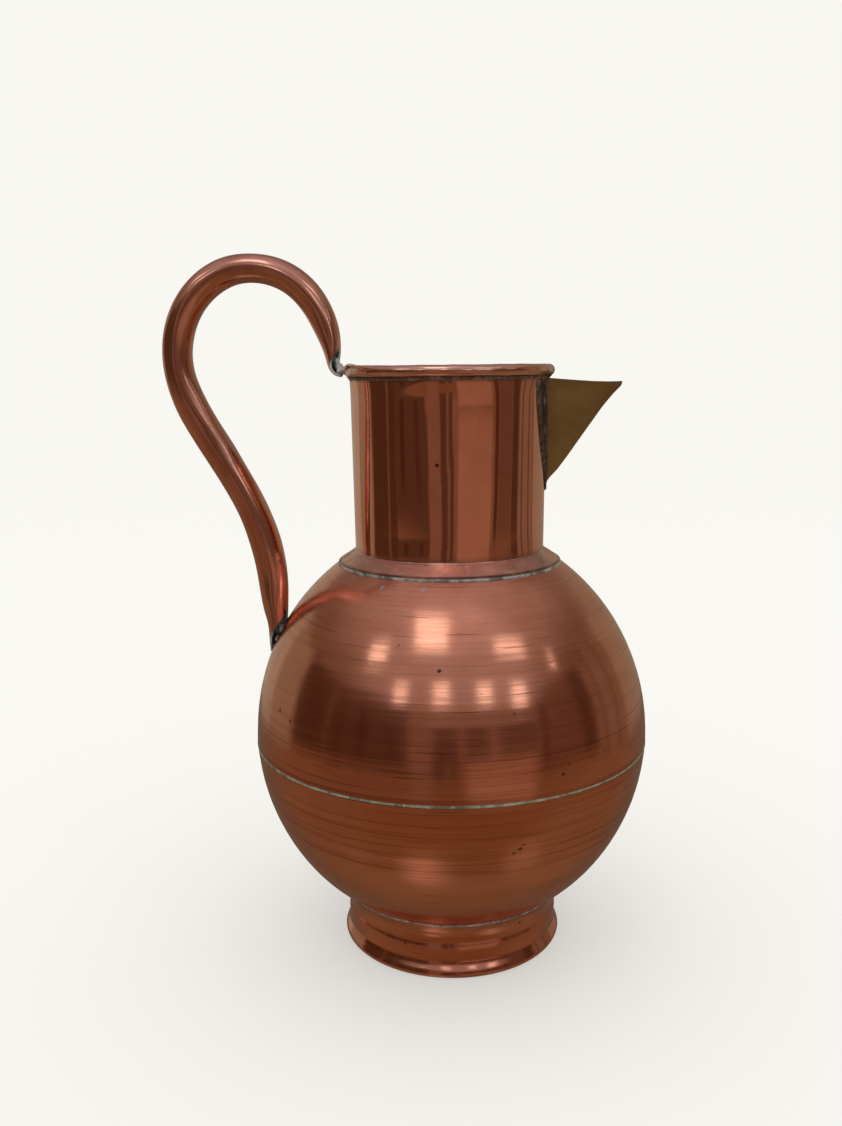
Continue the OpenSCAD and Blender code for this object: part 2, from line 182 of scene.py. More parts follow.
# ------------------------------------------------------------------ materials
class Mat:
    """A small wrapper that keeps node code short."""

    def __init__(self, name):
        self.m = bpy.data.materials.new(name)
        self.m.use_nodes = True
        self.nt = self.m.node_tree
        self.nt.nodes.clear()
        self.out = self.nt.nodes.new("ShaderNodeOutputMaterial")
        self.co = self.nt.nodes.new("ShaderNodeTexCoord").outputs["Object"]

    def put(self, socket, v):
        if isinstance(v, bpy.types.NodeSocket):
            self.nt.links.new(v, socket)
        elif isinstance(v, (tuple, list)) and len(v) == 3 and len(getattr(socket, "default_value", v)) == 4:
            socket.default_value = (*v, 1.0)
        else:
            socket.default_value = v

    def math(self, op, a, b=0.0, c=0.0, clamp=False):
        n = self.nt.nodes.new("ShaderNodeMath")
        n.operation = op
        n.use_clamp = clamp
        for i, v in enumerate((a, b, c)):
            self.put(n.inputs[i], v)
        return n.outputs[0]

    def add(self, a, b): return self.math("ADD", a, b)
    def mul(self, a, b): return self.math("MULTIPLY", a, b)
    def sub(self, a, b): return self.math("SUBTRACT", a, b)

    def range(self, v, a, b, c=0.0, d=1.0, smooth=True):
        n = self.nt.nodes.new("ShaderNodeMapRange")
        n.interpolation_type = "SMOOTHSTEP" if smooth else "LINEAR"
        n.clamp = True
        for i, x in enumerate((v, a, b, c, d)):
            self.put(n.inputs[i], x)
        return n.outputs[0]

    def xyz(self, v):
        n = self.nt.nodes.new("ShaderNodeSeparateXYZ")
        self.put(n.inputs[0], v)
        return n.outputs

    def vec(self, x, y, z):
        n = self.nt.nodes.new("ShaderNodeCombineXYZ")
        for i, v in enumerate((x, y, z)):
            self.put(n.inputs[i], v)
        return n.outputs[0]

    def noise(self, vec, scale, detail=2.0, rough=0.5, dist=0.0, w=None, lac=2.0):
        n = self.nt.nodes.new("ShaderNodeTexNoise")
        n.noise_dimensions = "3D" if w is None else "4D"
        self.put(n.inputs["Vector"], vec)
        if w is not None:
            self.put(n.inputs["W"], w)
        for k, v in (("Scale", scale), ("Detail", detail), ("Roughness", rough), ("Distortion", dist), ("Lacunarity", lac)):
            n.inputs[k].default_value = v
        return n.outputs[0]

    def mix(self, f, a, b, mode="MIX"):
        n = self.nt.nodes.new("ShaderNodeMix")
        n.data_type = "RGBA"
        n.blend_type = mode
        n.clamp_factor = True
        self.put(n.inputs["Factor"], f)
        self.put(n.inputs[6], a)
        self.put(n.inputs[7], b)
        return n.outputs[2]

    def dist(self, v, p):
        n = self.nt.nodes.new("ShaderNodeVectorMath")
        n.operation = "DISTANCE"
        self.put(n.inputs[0], v)
        self.put(n.inputs[1], p)
        return n.outputs["Value"]

    def scaled(self, v, s):
        n = self.nt.nodes.new("ShaderNodeVectorMath")
        n.operation = "MULTIPLY"
        self.put(n.inputs[0], v)
        self.put(n.inputs[1], s)
        return n.outputs[0]

    def bump(self, h, distance, strength=1.0, normal=None):
        n = self.nt.nodes.new("ShaderNodeBump")
        self.put(n.inputs["Height"], h)
        n.inputs["Distance"].default_value = distance
        n.inputs["Strength"].default_value = strength
        if normal is not None:
            self.put(n.inputs["Normal"], normal)
        return n.outputs[0]

    def lathe(self):
        """Radius, height in mm, and the direction round the axis as a unit pair."""
        x, y, z = self.xyz(self.co)
        r = self.math("SQRT", self.add(self.mul(x, x), self.mul(y, y)))
        safe = self.math("MAXIMUM", r, 1e-5)
        return self.mul(r, 1000.0), self.mul(z, 1000.0), self.math("DIVIDE", x, safe), self.math("DIVIDE", y, safe)

    def finish(self, color, rough, normal=None, metallic=1.0, aniso=0.0, rot=0.25):
        p = self.nt.nodes.new("ShaderNodeBsdfPrincipled")
        self.put(p.inputs["Base Color"], color)
        self.put(p.inputs["Metallic"], metallic)
        self.put(p.inputs["Roughness"], rough)
        if normal is not None:
            self.put(p.inputs["Normal"], normal)
        if aniso:
            p.inputs["Anisotropic"].default_value = aniso
            p.inputs["Anisotropic Rotation"].default_value = rot
            t = self.nt.nodes.new("ShaderNodeTangent")
            t.direction_type = "RADIAL"
            t.axis = "Z"
            self.put(p.inputs["Tangent"], t.outputs[0])
        self.nt.links.new(p.outputs[0], self.out.inputs[0])
        return self.m


FRESH = (0.90, 0.475, 0.33)
PINK = (0.84, 0.50, 0.38)
DULL = (0.64, 0.285, 0.18)
DARK = (0.20, 0.075, 0.045)


def turned_copper(name, lines=1.0, rough=0.15, tint=FRESH, dull=DULL, blotch=0.5, marks=(), seam_dirt_and_shade=(), splashes=(), aniso=0.25, lined=(0.0, 1.0)):
    """Spun copper: turning lines round the axis, softer bands, tarnish, a few marks, and darker bands along the solder
    lines and the foot's bottom edge that are partly dirt and partly painted shade.
    """
    m = Mat(name)
    r, z, c, s = m.lathe()
    ring = lambda k, kt, detail, rough_: m.noise(m.vec(m.mul(r, k), m.mul(z, k), m.mul(c, kt)), 1.0, detail, rough_, w=m.mul(s, kt))
    fine = ring(1.5, 1.5, 4.0, 0.75)
    mid = ring(0.32, 0.8, 3.0, 0.6)
    band = ring(0.07, 0.5, 2.0, 0.5)
    # lines cut a little deeper, drawn darker in colour as well as in relief
    deep = m.range(ring(0.85, 2.2, 1.0, 0.5), 0.66, 0.74)
    # long close lines where the tool pressed hardest, between the heights in lined
    zone = m.mul(m.range(z, lined[0] - 8.0, lined[0] + 6.0), m.range(z, lined[1] - 6.0, lined[1] + 22.0, 1.0, 0.0))
    zone = m.add(0.25, m.mul(zone, m.range(ring(0.12, 1.0, 2.0, 0.5), 0.3, 0.6, 0.45, 0.75)))
    long_ = ring(0.75, 0.45, 3.0, 0.7)
    groove = m.mul(m.range(long_, 0.50, 0.66), zone)
    cloud = m.noise(m.co, 16.0, 5.0, 0.6, 0.4)
    speck = m.noise(m.co, 900.0, 2.0, 0.5)
    pits = m.range(m.noise(m.co, 210.0, 1.0, 0.4), 0.80, 0.86)

    f = m.add(m.mul(m.range(cloud, 0.38, 0.72), blotch), m.mul(m.range(band, 0.35, 0.7), 0.35))
    col = m.mix(f, tint, dull)
    col = m.mix(m.range(fine, 0.30, 0.72, 0.0, 0.45 * lines), col, (0.70, 0.30, 0.18))
    col = m.mix(m.mul(groove, 0.62 * lines), col, (0.36, 0.13, 0.075))
    col = m.mix(m.mul(deep, 0.55 * lines), col, DARK)
    col = m.mix(m.mul(pits, 0.7), col, DARK)
    ro = m.add(rough, m.mul(m.range(fine, 0.35, 0.8), 0.10 * lines))
    ro = m.add(ro, m.mul(m.range(mid, 0.4, 0.75), 0.07 * lines))
    ro = m.add(ro, m.mul(m.range(cloud, 0.45, 0.8), 0.08))
    # darker bands at the given heights: partly dirt along the solder lines, partly painted shade in the belly seam's
    # gap, above and below the foot's solder line and along the foot's bottom edge
    for (zz, w, k) in seam_dirt_and_shade:
        g = m.mul(m.range(m.math("ABSOLUTE", m.sub(z, zz)), 0.0, w, 1.0, 0.0), m.range(m.noise(m.co, 60.0, 4.0, 0.6), 0.25, 0.75, 0.35 * k, k))
        col = m.mix(g, col, (0.13, 0.06, 0.04))
        ro = m.add(ro, m.mul(g, 0.25))
    for (px, py, pz, rad, k) in marks:
        d = m.dist(m.co, (px * MM, py * MM, pz * MM))
        d = m.add(d, m.mul(m.sub(m.noise(m.co, 500.0, 2.0, 0.6), 0.5), rad * MM * 1.3))
        g = m.range(d, rad * MM * 0.55, rad * MM, k, 0.0)
        col = m.mix(g, col, (0.05, 0.03, 0.045))
        ro = m.add(ro, m.mul(g, 0.3))
    for (px, py, pz, rad) in splashes:
        d = m.dist(m.co, (px * MM, py * MM, pz * MM))
        d = m.add(d, m.mul(m.sub(m.noise(m.co, 420.0, 2.0, 0.6), 0.5), rad * MM * 1.8))
        g = m.range(d, rad * MM * 0.6, rad * MM, 0.8, 0.0)
        col = m.mix(g, col, (0.58, 0.63, 0.68))
        ro = m.add(ro, m.mul(g, 0.15))
    h = m.add(m.mul(fine, 0.6 * lines), m.add(m.mul(mid, 1.0 * lines), m.mul(speck, 0.05)))
    h = m.sub(h, m.add(m.mul(deep, 0.4 * lines), m.mul(m.mul(long_, zone), 2.2 * lines)))
    n = m.bump(h, 0.00005, 0.5)
    ro = m.math("MINIMUM", ro, 0.75)
    return m.finish(col, ro, n, aniso=aniso)


def sheet_copper(name, rough=0.10, tint=FRESH, dull=DULL, blotch=0.4, streak=(1.0, 1.0, 0.25), painted_shade_bands=(), hammer=0.0, marks=(), calm=1.0):
    """Rolled and planished copper sheet: long soft polishing streaks, fingerprints, tarnish clouds and small nicks."""
    m = Mat(name)
    x, y, z = m.xyz(m.co)
    cloud = m.noise(m.co, 22.0, 5.0, 0.62, 0.6)
    cloud2 = m.noise(m.co, 70.0, 4.0, 0.6, 0.3)
    st = m.noise(m.scaled(m.co, streak), 260.0, 3.0, 0.6)
    hair = m.noise(m.scaled(m.co, (streak[0] * 1.0, streak[1] * 1.0, streak[2] * 0.3)), 1100.0, 2.0, 0.6)
    nick = m.range(m.noise(m.co, 240.0, 1.0, 0.4), 0.78, 0.84)
    f = m.add(m.mul(m.range(cloud, 0.40, 0.72), blotch), m.mul(m.range(cloud2, 0.45, 0.8), 0.25))
    col = m.mix(f, tint, dull)
    col = m.mix(m.range(st, 0.5, 0.75, 0.0, 0.25 * calm), col, (0.68, 0.30, 0.19))
    col = m.mix(m.mul(nick, 0.6), col, DARK)
    ro = m.add(rough, m.mul(m.range(cloud, 0.4, 0.8), 0.10 * calm))
    ro = m.add(ro, m.mul(m.range(st, 0.5, 0.8), 0.08 * calm))
    zz = m.mul(z, 1000.0)
    # painted shade in bands between heights g0 and g1 mm, mottled, as under a bead or in a corner
    for (g0, g1, k) in painted_shade_bands:
        g = m.mul(m.range(zz, g0, g1, 0.0, k), m.range(cloud2, 0.25, 0.65, 0.45, 1.0))
        col = m.mix(g, col, (0.13, 0.06, 0.045))
        ro = m.add(ro, m.mul(g, 0.3))
    # dark spots: small nicks; the rim's broad patches are painted dark reflection with some dirt
    for (px, py, pz, rad, k) in marks:
        d = m.dist(m.co, (px * MM, py * MM, pz * MM))
        d = m.add(d, m.mul(m.sub(m.noise(m.co, 500.0, 2.0, 0.6), 0.5), rad * MM * 1.3))
        g = m.range(d, rad * MM * 0.5, rad * MM, k, 0.0)
        col = m.mix(g, col, (0.05, 0.03, 0.045))
        ro = m.add(ro, m.mul(g, 0.3))
    h = m.add(m.mul(st, 0.4), m.add(m.mul(hair, 0.25), m.mul(cloud2, hammer * 4.0)))
    n = m.bump(h, 0.00006, 0.5 * calm)
    ro = m.math("MINIMUM", ro, 0.8)
    return m.finish(col, ro, n)


def scuffed_copper(name, tint=PINK, dull=(0.50, 0.26, 0.19), rough=0.26):
    """The collar's matt, much-rubbed copper."""
    m = Mat(name)
    r, z, c, s = m.lathe()
    ring = m.noise(m.vec(m.mul(r, 0.7), m.mul(z, 0.7), m.mul(c, 5.0)), 1.0, 4.0, 0.7, w=m.mul(s, 5.0))
    cloud = m.noise(m.co, 45.0, 5.0, 0.65, 0.5)
    grain = m.noise(m.co, 420.0, 4.0, 0.7)
    rub = m.range(m.noise(m.co, 150.0, 3.0, 0.7, 0.8), 0.5, 0.72)
    col = m.mix(m.range(cloud, 0.35, 0.7), tint, dull)
    col = m.mix(m.mul(rub, 0.55), col, (0.92, 0.56, 0.44))
    col = m.mix(m.range(grain, 0.55, 0.8, 0.0, 0.6), col, (0.30, 0.13, 0.09))
    col = m.mix(m.range(m.noise(m.co, 70.0, 4.0, 0.7, 1.2), 0.56, 0.70, 0.0, 0.6), col, (0.52, 0.47, 0.44))
    # painted shadow line along the collar's outer lower edge, in the gap above its solder line
    col = m.mix(m.mul(m.range(r, COLLAR_R - 1.3, COLLAR_R - 0.2), m.range(cloud, 0.3, 0.6, 0.35, 0.85)), col, (0.10, 0.06, 0.045))
    ro = m.add(rough, m.mul(m.range(cloud, 0.35, 0.7), 0.16))
    ro = m.sub(ro, m.mul(rub, 0.10))
    h = m.add(m.mul(ring, 0.7), m.mul(grain, 0.6))
    return m.finish(col, ro, m.bump(h, 0.00018, 0.6))


def solder_metal(name, light=(0.40, 0.41, 0.37), dark=(0.13, 0.115, 0.10), rough=0.26, cover=0.5, stain=(0.25, 0.16, 0.11), metallic=0.6, relief=0.5):
    """Soft solder: grey, patchy, bright where it flowed and dark where flux stayed."""
    m = Mat(name)
    a = m.noise(m.co, 120.0, 5.0, 0.65, 0.4)
    b = m.noise(m.co, 480.0, 4.0, 0.6)
    c = m.noise(m.co, 38.0, 3.0, 0.6)
    col = m.mix(m.range(a, 0.5 - cover * 0.3, 0.78 - cover * 0.3), light, dark)
    col = m.mix(m.range(b, 0.5, 0.75, 0.0, 0.7), col, dark)
    col = m.mix(m.range(c, 0.52, 0.72, 0.0, 0.55), col, stain)
    ro = m.add(rough, m.mul(m.range(a, 0.35, 0.7), 0.28))
    h = m.add(m.mul(a, 1.0), m.mul(b, 0.5))
    return m.finish(col, ro, m.bump(h, 0.0002, relief), metallic=metallic)


def brass_metal(name):
    """Dull, oiled-looking brass sheet with brown tarnish towards its edges."""
    m = Mat(name)
    x, y, z = m.xyz(m.co)
    cloud = m.noise(m.co, 30.0, 5.0, 0.62, 0.6)
    blot = m.noise(m.co, 95.0, 4.0, 0.65, 0.4)
    st = m.noise(m.scaled(m.co, (1.0, 1.0, 0.22)), 420.0, 3.0, 0.6)
    grain = m.noise(m.co, 900.0, 3.0, 0.6)
    edge = m.range(m.mul(z, 1000.0), 368.0, 376.0, 0.0, 0.35)
    tip = m.range(m.mul(x, 1000.0), 92.0, 112.0, 0.0, 0.45)
    root = m.range(m.mul(x, 1000.0), 70.0, 60.0, 0.0, 0.6)
    col = m.mix(m.range(cloud, 0.36, 0.70), (0.52, 0.51, 0.29), (0.40, 0.38, 0.205))
    col = m.mix(m.range(blot, 0.48, 0.74, 0.0, 0.35), col, (0.34, 0.28, 0.17))
    e = m.math("MAXIMUM", m.math("MAXIMUM", edge, tip), root)
    col = m.mix(m.mul(e, m.range(blot, 0.2, 0.6, 0.5, 1.0)), col, (0.24, 0.18, 0.13))
    ro = m.add(0.28, m.mul(m.range(cloud, 0.35, 0.75), 0.16))
    ro = m.add(ro, m.mul(m.range(st, 0.45, 0.75), 0.08))
    h = m.add(m.mul(st, 0.7), m.add(m.mul(grain, 0.25), m.mul(blot, 1.2)))
    return m.finish(col, ro, m.bump(h, 0.00010, 0.6))


def wire_metal(name):
    m = Mat(name)
    a = m.noise(m.co, 160.0, 4.0, 0.65)
    col = m.mix(m.range(a, 0.4, 0.7), (0.12, 0.09, 0.07), (0.05, 0.035, 0.03))
    return m.finish(col, m.add(0.35, m.mul(a, 0.35)), m.bump(a, 0.0003, 0.6), metallic=0.85)


MARKS_UP = [(-6.3, -111.4, 214.9, 1.6, 0.9), (-29.5, -99.5, 227.0, 0.9, 0.7), (64.8, -112.3, 153.4, 1.2, 0.8), (68.3, -109.8, 158.6, 0.9, 0.7),
            (36.2, -116.7, 191.2, 1.0, 0.7), (-104.4, -70.3, 178.6, 1.5, 0.7), (-96.7, -81.8, 175.5, 1.3, 0.7)]
MARKS_LOW = [(39.6, -118.9, 110.7, 1.9, 0.6), (36.0, -119.2, 108.2, 1.5, 0.55), (41.9, -118.7, 113.4, 1.3, 0.6)]
SPLASHES = [(-40.8, -66.6, 254.3, 1.9), (-15.6, -76.5, 254.3, 1.7), (59.5, -39.4, 259.4, 2.6), (-60.0, -45.0, 257.0, 1.5)]

# the seam bands: dirt and painted shade along the belly seam, and on the lower bowl painted shadow just above the
# foot's solder line
M_UPPER = turned_copper("spun_copper_upper", lines=1.0, rough=0.125, lined=(132.0, 172.0), marks=MARKS_UP, splashes=SPLASHES, seam_dirt_and_shade=((BELLY, 1.8, 0.8),))
M_LOWER = turned_copper("spun_copper_lower", lines=1.1, rough=0.14, lined=(88.0, 150.0), tint=(0.88, 0.46, 0.31), marks=MARKS_LOW, seam_dirt_and_shade=((BELLY, 1.8, 0.7), (37.0, 3.0, 0.5)))
# the neck's dark bands are painted shade: under the rim bead and in the corner above the collar
M_NECK = sheet_copper("rolled_copper_neck", rough=0.05, streak=(1.0, 1.0, 0.7), painted_shade_bands=((374.5, 378.5, 0.9), (272.0, 268.0, 0.35)), marks=((-7.1, -61.9, 326.9, 1.5, 0.9),), blotch=0.3, calm=0.3)
# the rim's two broad dark patches at the spout end are a painted dark reflection, with some dirt
M_RIM = sheet_copper("rolled_copper_rim", rough=0.15, tint=(0.92, 0.60, 0.48), dull=(0.60, 0.36, 0.28), blotch=0.6, streak=(1, 1, 1), hammer=0.5, marks=((66.0, -10.0, 380.0, 9.0, 0.55), (60.0, -26.0, 379.0, 6.0, 0.45)))
# the foot's seam bands are painted shade along its bottom edge and below its solder line, with some dirt
M_FOOT = turned_copper("spun_copper_foot", lines=0.7, rough=0.10, tint=(0.88, 0.46, 0.33), blotch=0.4, seam_dirt_and_shade=((0.0, 2.2, 0.7), (36.0, 8.0, 0.42)), marks=((44.0, -57.0, 30.0, 1.4, 0.7), (-30.0, -64.5, 20.0, 1.2, 0.6)))
M_COLLAR = scuffed_copper("rubbed_copper_collar", tint=(0.90, 0.59, 0.48), dull=(0.62, 0.36, 0.28))
M_TINNED = scuffed_copper("tinned_copper_joint", tint=(0.82, 0.58, 0.50), dull=(0.46, 0.29, 0.24), rough=0.20)
M_HANDLE = sheet_copper("rolled_copper_handle", rough=0.16, tint=(0.86, 0.50, 0.385), dull=(0.60, 0.32, 0.235), blotch=0.75, streak=(0.6, 1, 0.6), hammer=0.35)
M_SOLDER = solder_metal("soft_solder_grey", light=(0.46, 0.46, 0.44), dark=(0.15, 0.13, 0.115), metallic=0.55, cover=0.5)
M_SOLDER_LINE = solder_metal("soft_solder_line", light=(0.33, 0.40, 0.31), dark=(0.13, 0.12, 0.085), cover=0.4, metallic=0.5)
# the rim's solder is painted darker than the rest, as shade under the rim bead
M_SOLDER_DARK = solder_metal("soft_solder_dark", light=(0.24, 0.19, 0.15), dark=(0.09, 0.055, 0.038), cover=0.75, rough=0.32)
M_SOLDER_SPOUT = solder_metal("soft_solder_spout", light=(0.30, 0.31, 0.26), dark=(0.085, 0.065, 0.048), cover=0.75, rough=0.22, stain=(0.11, 0.07, 0.045), metallic=0.85)
M_SOLDER_BRIGHT = solder_metal("soft_solder_bright", light=(0.74, 0.75, 0.76), dark=(0.30, 0.29, 0.28), rough=0.20, cover=0.2, stain=(0.45, 0.40, 0.37), metallic=0.6, relief=0.25)
M_TIN = solder_metal("tinned_inside", light=(0.60, 0.60, 0.54), dark=(0.24, 0.23, 0.20), rough=0.34, cover=0.3, metallic=0.35, stain=(0.40, 0.34, 0.28))
M_BRASS = brass_metal("dull_brass_sheet")
M_WIRE = wire_metal("old_iron_wire")

# ------------------------------------------------------------------ bowls
rng = random.Random(11)
spin_u = [(rng.uniform(3.5, 16.0), rng.uniform(0, 2 * PI), rng.uniform(0.3, 1.0)) for _ in range(16)]
spin_l = [(rng.uniform(3.5, 14.0), rng.uniform(0, 2 * PI), rng.uniform(0.3, 1.0)) for _ in range(16)]


def ridges(terms, s, amp):
    v = 0.0
    for wl, p, a in terms:
        v = v + a * wl / 10.0 * np.sin(2 * PI * s / wl + p)
    return amp * v / 3.0


def bowl_upper():
    th = around(384)
    a0 = math.degrees(math.asin((BELLY + 0.75 - EZ) / UR))
    a1 = math.degrees(math.acos((MOUTH_R - UC) / UR))
    n_out, n_in = 190, 70
    ao = np.radians(np.linspace(a0, a1, n_out))
    ai = np.radians(np.linspace(a1, a0, n_in))
    so = (ao - ao[0]) * UR
    si = (ai - ao[0]) * UR
    big = Wave(3, 16, 1, 7, 150.0)
    small = Wave(4, 18, 4, 15, 60.0)

    def d(s):
        t = smoothstep(s, 0.0, 10.0) * smoothstep(so[-1] - s, 6.0, 22.0)
        v = 0.20 * big(th[:, None], s[None, :]) + 0.06 * small(th[:, None], s[None, :])
        v = v + ridges(spin_u, s, 0.02)[None, :]
        return (v - 0.22 * smoothstep(so[-1] * 0.5 - s, 0.0, 60.0)[None, :]) * t[None, :]

    do, di = d(so), d(si)
    ro = UC + (UR + do) * np.cos(ao)
    zo = EZ + (UR + do) * np.sin(ao)
    ri = UC + (UR - SHEET + di) * np.cos(ai)
    zi = EZ + (UR - SHEET + di) * np.sin(ai)
    return turned("upper_bowl_spun", np.hstack([ro, ri]), np.hstack([zo, zi]), th, sharp=30)


def bowl_lower():
    th = around(384)
    z1 = BELLY - 0.75
    a_in0 = -math.degrees(math.acos(-LC / LR))
    a_out = math.degrees(math.asin((z1 - EZ) / LR))
    n_out, n_in = 175, 66
    ao = np.radians(np.linspace(a_in0, a_out, n_out))
    so = (ao - ao[0]) * LR
    big = Wave(7, 16, 1, 6, 150.0)
    small = Wave(8, 16, 4, 14, 60.0)

    def d(s):
        t = smoothstep(s, 20.0, 60.0) * smoothstep(so[-1] - s, 0.0, 10.0)
        v = 0.17 * big(th[:, None], s[None, :]) + 0.05 * small(th[:, None], s[None, :])
        v = v + ridges(spin_l, s, 0.025)[None, :]
        return (v - 0.20 * smoothstep(s - so[-1] * 0.5, 0.0, 60.0)[None, :]) * t[None, :]

    do = d(so)
    ro = LC + (LR + do) * np.cos(ao)
    zo = EZ + (LR + do) * np.sin(ao)
    ut = UR - SHEET - 0.05
    zl = np.linspace(z1, z1 + 8.0, 6)
    lip_o = np.stack([up_r(zl, ut), zl], -1)
    zl2 = np.linspace(z1 + 8.0, z1 + 1.0, 6)
    lip_i = np.stack([up_r(zl2, ut) - SHEET, zl2], -1)
    ri0 = LR - SHEET
    ai = np.radians(np.linspace(math.degrees(math.asin((z1 - 5 - EZ) / ri0)), -math.degrees(math.acos(-LC / ri0)), n_in))
    di = d((ai - ao[0]) * LR)
    ri = LC + (ri0 + di) * np.cos(ai)
    zi = EZ + (ri0 + di) * np.sin(ai)
    one = np.ones((len(th), 1))
    r = np.hstack([ro, one * lip_o[:, 0], one * lip_i[:, 0], ri])
    z = np.hstack([zo, one * lip_o[:, 1], one * lip_i[:, 1], zi])
    r = np.maximum(r, 0.0)
    t = th[:, None]
    P = np.stack([r * np.cos(t), r * np.sin(t), z], -1)
    I, J = r.shape
    a = np.arange(I)[:, None] * J
    b = ((np.arange(I) + 1) % I)[:, None] * J
    j = np.arange(J - 1)[None, :]
    faces = np.stack([a + j, b + j, b + j + 1, a + j + 1], -1).reshape(-1, 4).tolist()
    return new_mesh("lower_bowl_spun", P.reshape(-1, 3), faces, 30, merge=0.004)


place(bowl_upper(), M_UPPER, "spun_copper", "upper_bowl")
place(bowl_lower(), M_LOWER, "spun_copper", "lower_bowl")


# ------------------------------------------------------------------ beads of solder round the jug
def bead(name, seg, base, w_fn, h_fn, n=14, prof=None, sharp=60):
    """A line of solder. base(u) gives the point and outward normal at distance u mm across the line;
    w_fn(th) the half width, h_fn(th) the height, both mm."""
    th = around(seg)
    w, h = w_fn(th), h_fn(th)
    lump = Wave(91, 10, 6, 36, 6.0)
    prof = prof or (lambda q: (1 - abs(q) ** 2.2) ** 0.6)
    R, Z = [], []
    for q in np.linspace(-1, 1, n):
        u = q * w
        (r0, z0), (nr, nz) = base(u, th)
        k = h * prof(q) * (1 + 0.05 * lump(th, q * 3.0))
        R.append(r0 + nr * k)
        Z.append(z0 + nz * k)
    for q in np.linspace(1, -1, 5)[1:-1]:
        (r0, z0), (nr, nz) = base(q * w, th)
        R.append(r0 - nr * 0.35)
        Z.append(z0 - nz * 0.35)
    return turned(name, np.stack(R, 1), np.stack(Z, 1), th, sharp=sharp)


def on_upper(s0, lift=0.0):
    """Arc position on the upper bowl: s0 mm along from the angle of the collar's edge, downwards positive."""
    def f(u, th):
        a = s0 - u / UR
        return (UC + (UR + lift) * np.cos(a), EZ + (UR + lift) * np.sin(a)), (np.cos(a), np.sin(a))
    return f


def on_lower(a0, lift=0.0):
    def f(u, th):
        a = a0 - u / LR
        return (LC + (LR + lift) * np.cos(a), EZ + (LR + lift) * np.sin(a)), (np.cos(a), np.sin(a))
    return f


wob = Wave(21, 14, 2, 24, 10.0)
wob2 = Wave(22, 14, 8, 60, 10.0)
wob3 = Wave(23, 16, 1, 12, 10.0)
wob4 = Wave(24, 16, 16, 90, 10.0)

a_belly = math.asin((BELLY - EZ) / UR)
belly = bead("belly_solder_line", 720, on_upper(a_belly, -0.12),
             lambda t: 0.80 + 0.16 * wob3(t, 0) + 0.03 * wob4(t, 3) + 0.25 * np.exp(-((t + 2.6) / 0.5) ** 2),
             lambda t: 0.34 + 0.02 * wob4(t, 9) + 0.04 * wob3(t, 5))
place(belly, M_SOLDER_LINE, "solder", "belly_solder_seam")

a_collar = math.acos((COLLAR_R - UC) / UR)
coll = bead("collar_solder_line", 720, on_upper(a_collar - 0.60 / UR, 0.02),
            lambda t: 0.66 + 0.10 * wob(t, 0) + 0.04 * wob2(t, 3) + 0.22 * np.exp(-((t + 2.7) / 0.5) ** 2),
            lambda t: 1.20 + 0.04 * wob2(t, 9) + 0.06 * wob(t, 5), n=20,
            prof=lambda q: (1 - ((q + 1) / 2) ** 1.5) ** 0.75)
place(coll, M_SOLDER, "solder", "collar_solder_seam")

a_foot = -math.acos((FOOT_TOP_R + 0.6 - LC) / LR)
fsl = bead("foot_solder_line", 600, on_lower(a_foot, 0.0),
           lambda t: 0.90 + 0.12 * wob3(t, 4) + 0.04 * wob2(t, 7),
           lambda t: 0.75 + 0.04 * wob4(t, 2))
place(fsl, M_SOLDER, "solder", "foot_solder_seam")


# ------------------------------------------------------------------ collar
def collar():
    th = around(360)
    t = th[:, None]
    w = Wave(31, 16, 3, 22, 14.0)
    ro, ri = UR + SHEET, UR + 0.03
    lip_o = NECK_R0 - NECK_T - 0.02
    lip_i = lip_o - SHEET
    a0 = math.acos((COLLAR_R - UC) / UR)
    a1 = math.acos((lip_o - UC) / ro)
    ao = np.linspace(a0, a1, 26)
    s = (ao - a0) * UR
    dent = (0.14 * w(t, s[None, :]) - 0.08) * smoothstep(s, 0.5, 3.0)[None, :] * smoothstep(s[-1] - s, 2.0, 4.0)[None, :]
    R = UC + (ro + dent) * np.cos(ao)
    Z = EZ + (ro + dent) * np.sin(ao)
    one = np.ones((len(th), 1))
    lip_z = np.linspace(Z[0, -1] + 1.0, 277.2, 6)
    lo_ = one * np.full(6, lip_o), one * lip_z
    li_ = one * np.full(6, lip_i), one * lip_z[::-1]
    a1i = math.acos((lip_i - UC) / ri)
    ai = np.linspace(a1i, a0, 16)
    Ri, Zi = one * (UC + ri * np.cos(ai)), one * (EZ + ri * np.sin(ai))
    return turned("neck_collar_band", np.hstack([R, lo_[0], li_[0], Ri]), np.hstack([Z, lo_[1], li_[1], Zi]), th, sharp=40)


place(collar(), M_COLLAR, "collar_copper", "neck_collar")


def neck_fillet():
    th = around(600)
    w = Wave(33, 14, 4, 40, 9.0)
    w2 = Wave(34, 14, 20, 90, 9.0)
    reach = 1.25 + 0.3 * w(th, 0) + 0.12 * w2(th, 2)
    rise = 1.0 + 0.25 * w(th, 7) + 0.10 * w2(th, 5)
    ro = UR + SHEET
    R, Z = [], []
    zc = float(up_z(NECK_R0, ro))
    for q in np.linspace(0, 1, 9):
        k = 1 - q
        # concave fillet from the neck down to the collar
        r = NECK_R0 + 0.05 + reach * (1 - math.sqrt(max(0.0, 1 - q * q))) + 0.05
        z = zc + rise * (1 - math.sqrt(max(0.0, 1 - k * k)))
        base = up_z(r, ro)
        R.append(r)
        Z.append(np.maximum(z - (zc - base), base + 0.02))
    R.append(NECK_R0 + reach * 0.9)
    Z.append(up_z(NECK_R0 + reach * 0.9, ro) - 0.3)
    R.append(np.full_like(th, NECK_R0 - 0.4))
    Z.append(np.full_like(th, zc - 0.3))
    R.append(np.full_like(th, NECK_R0 - 0.4))
    Z.append(zc + rise * 0.9)
    return turned("neck_solder_fillet", np.stack(R, 1), np.stack(Z, 1), th, sharp=60)


place(neck_fillet(), M_TINNED, "solder", "neck_solder_seam")


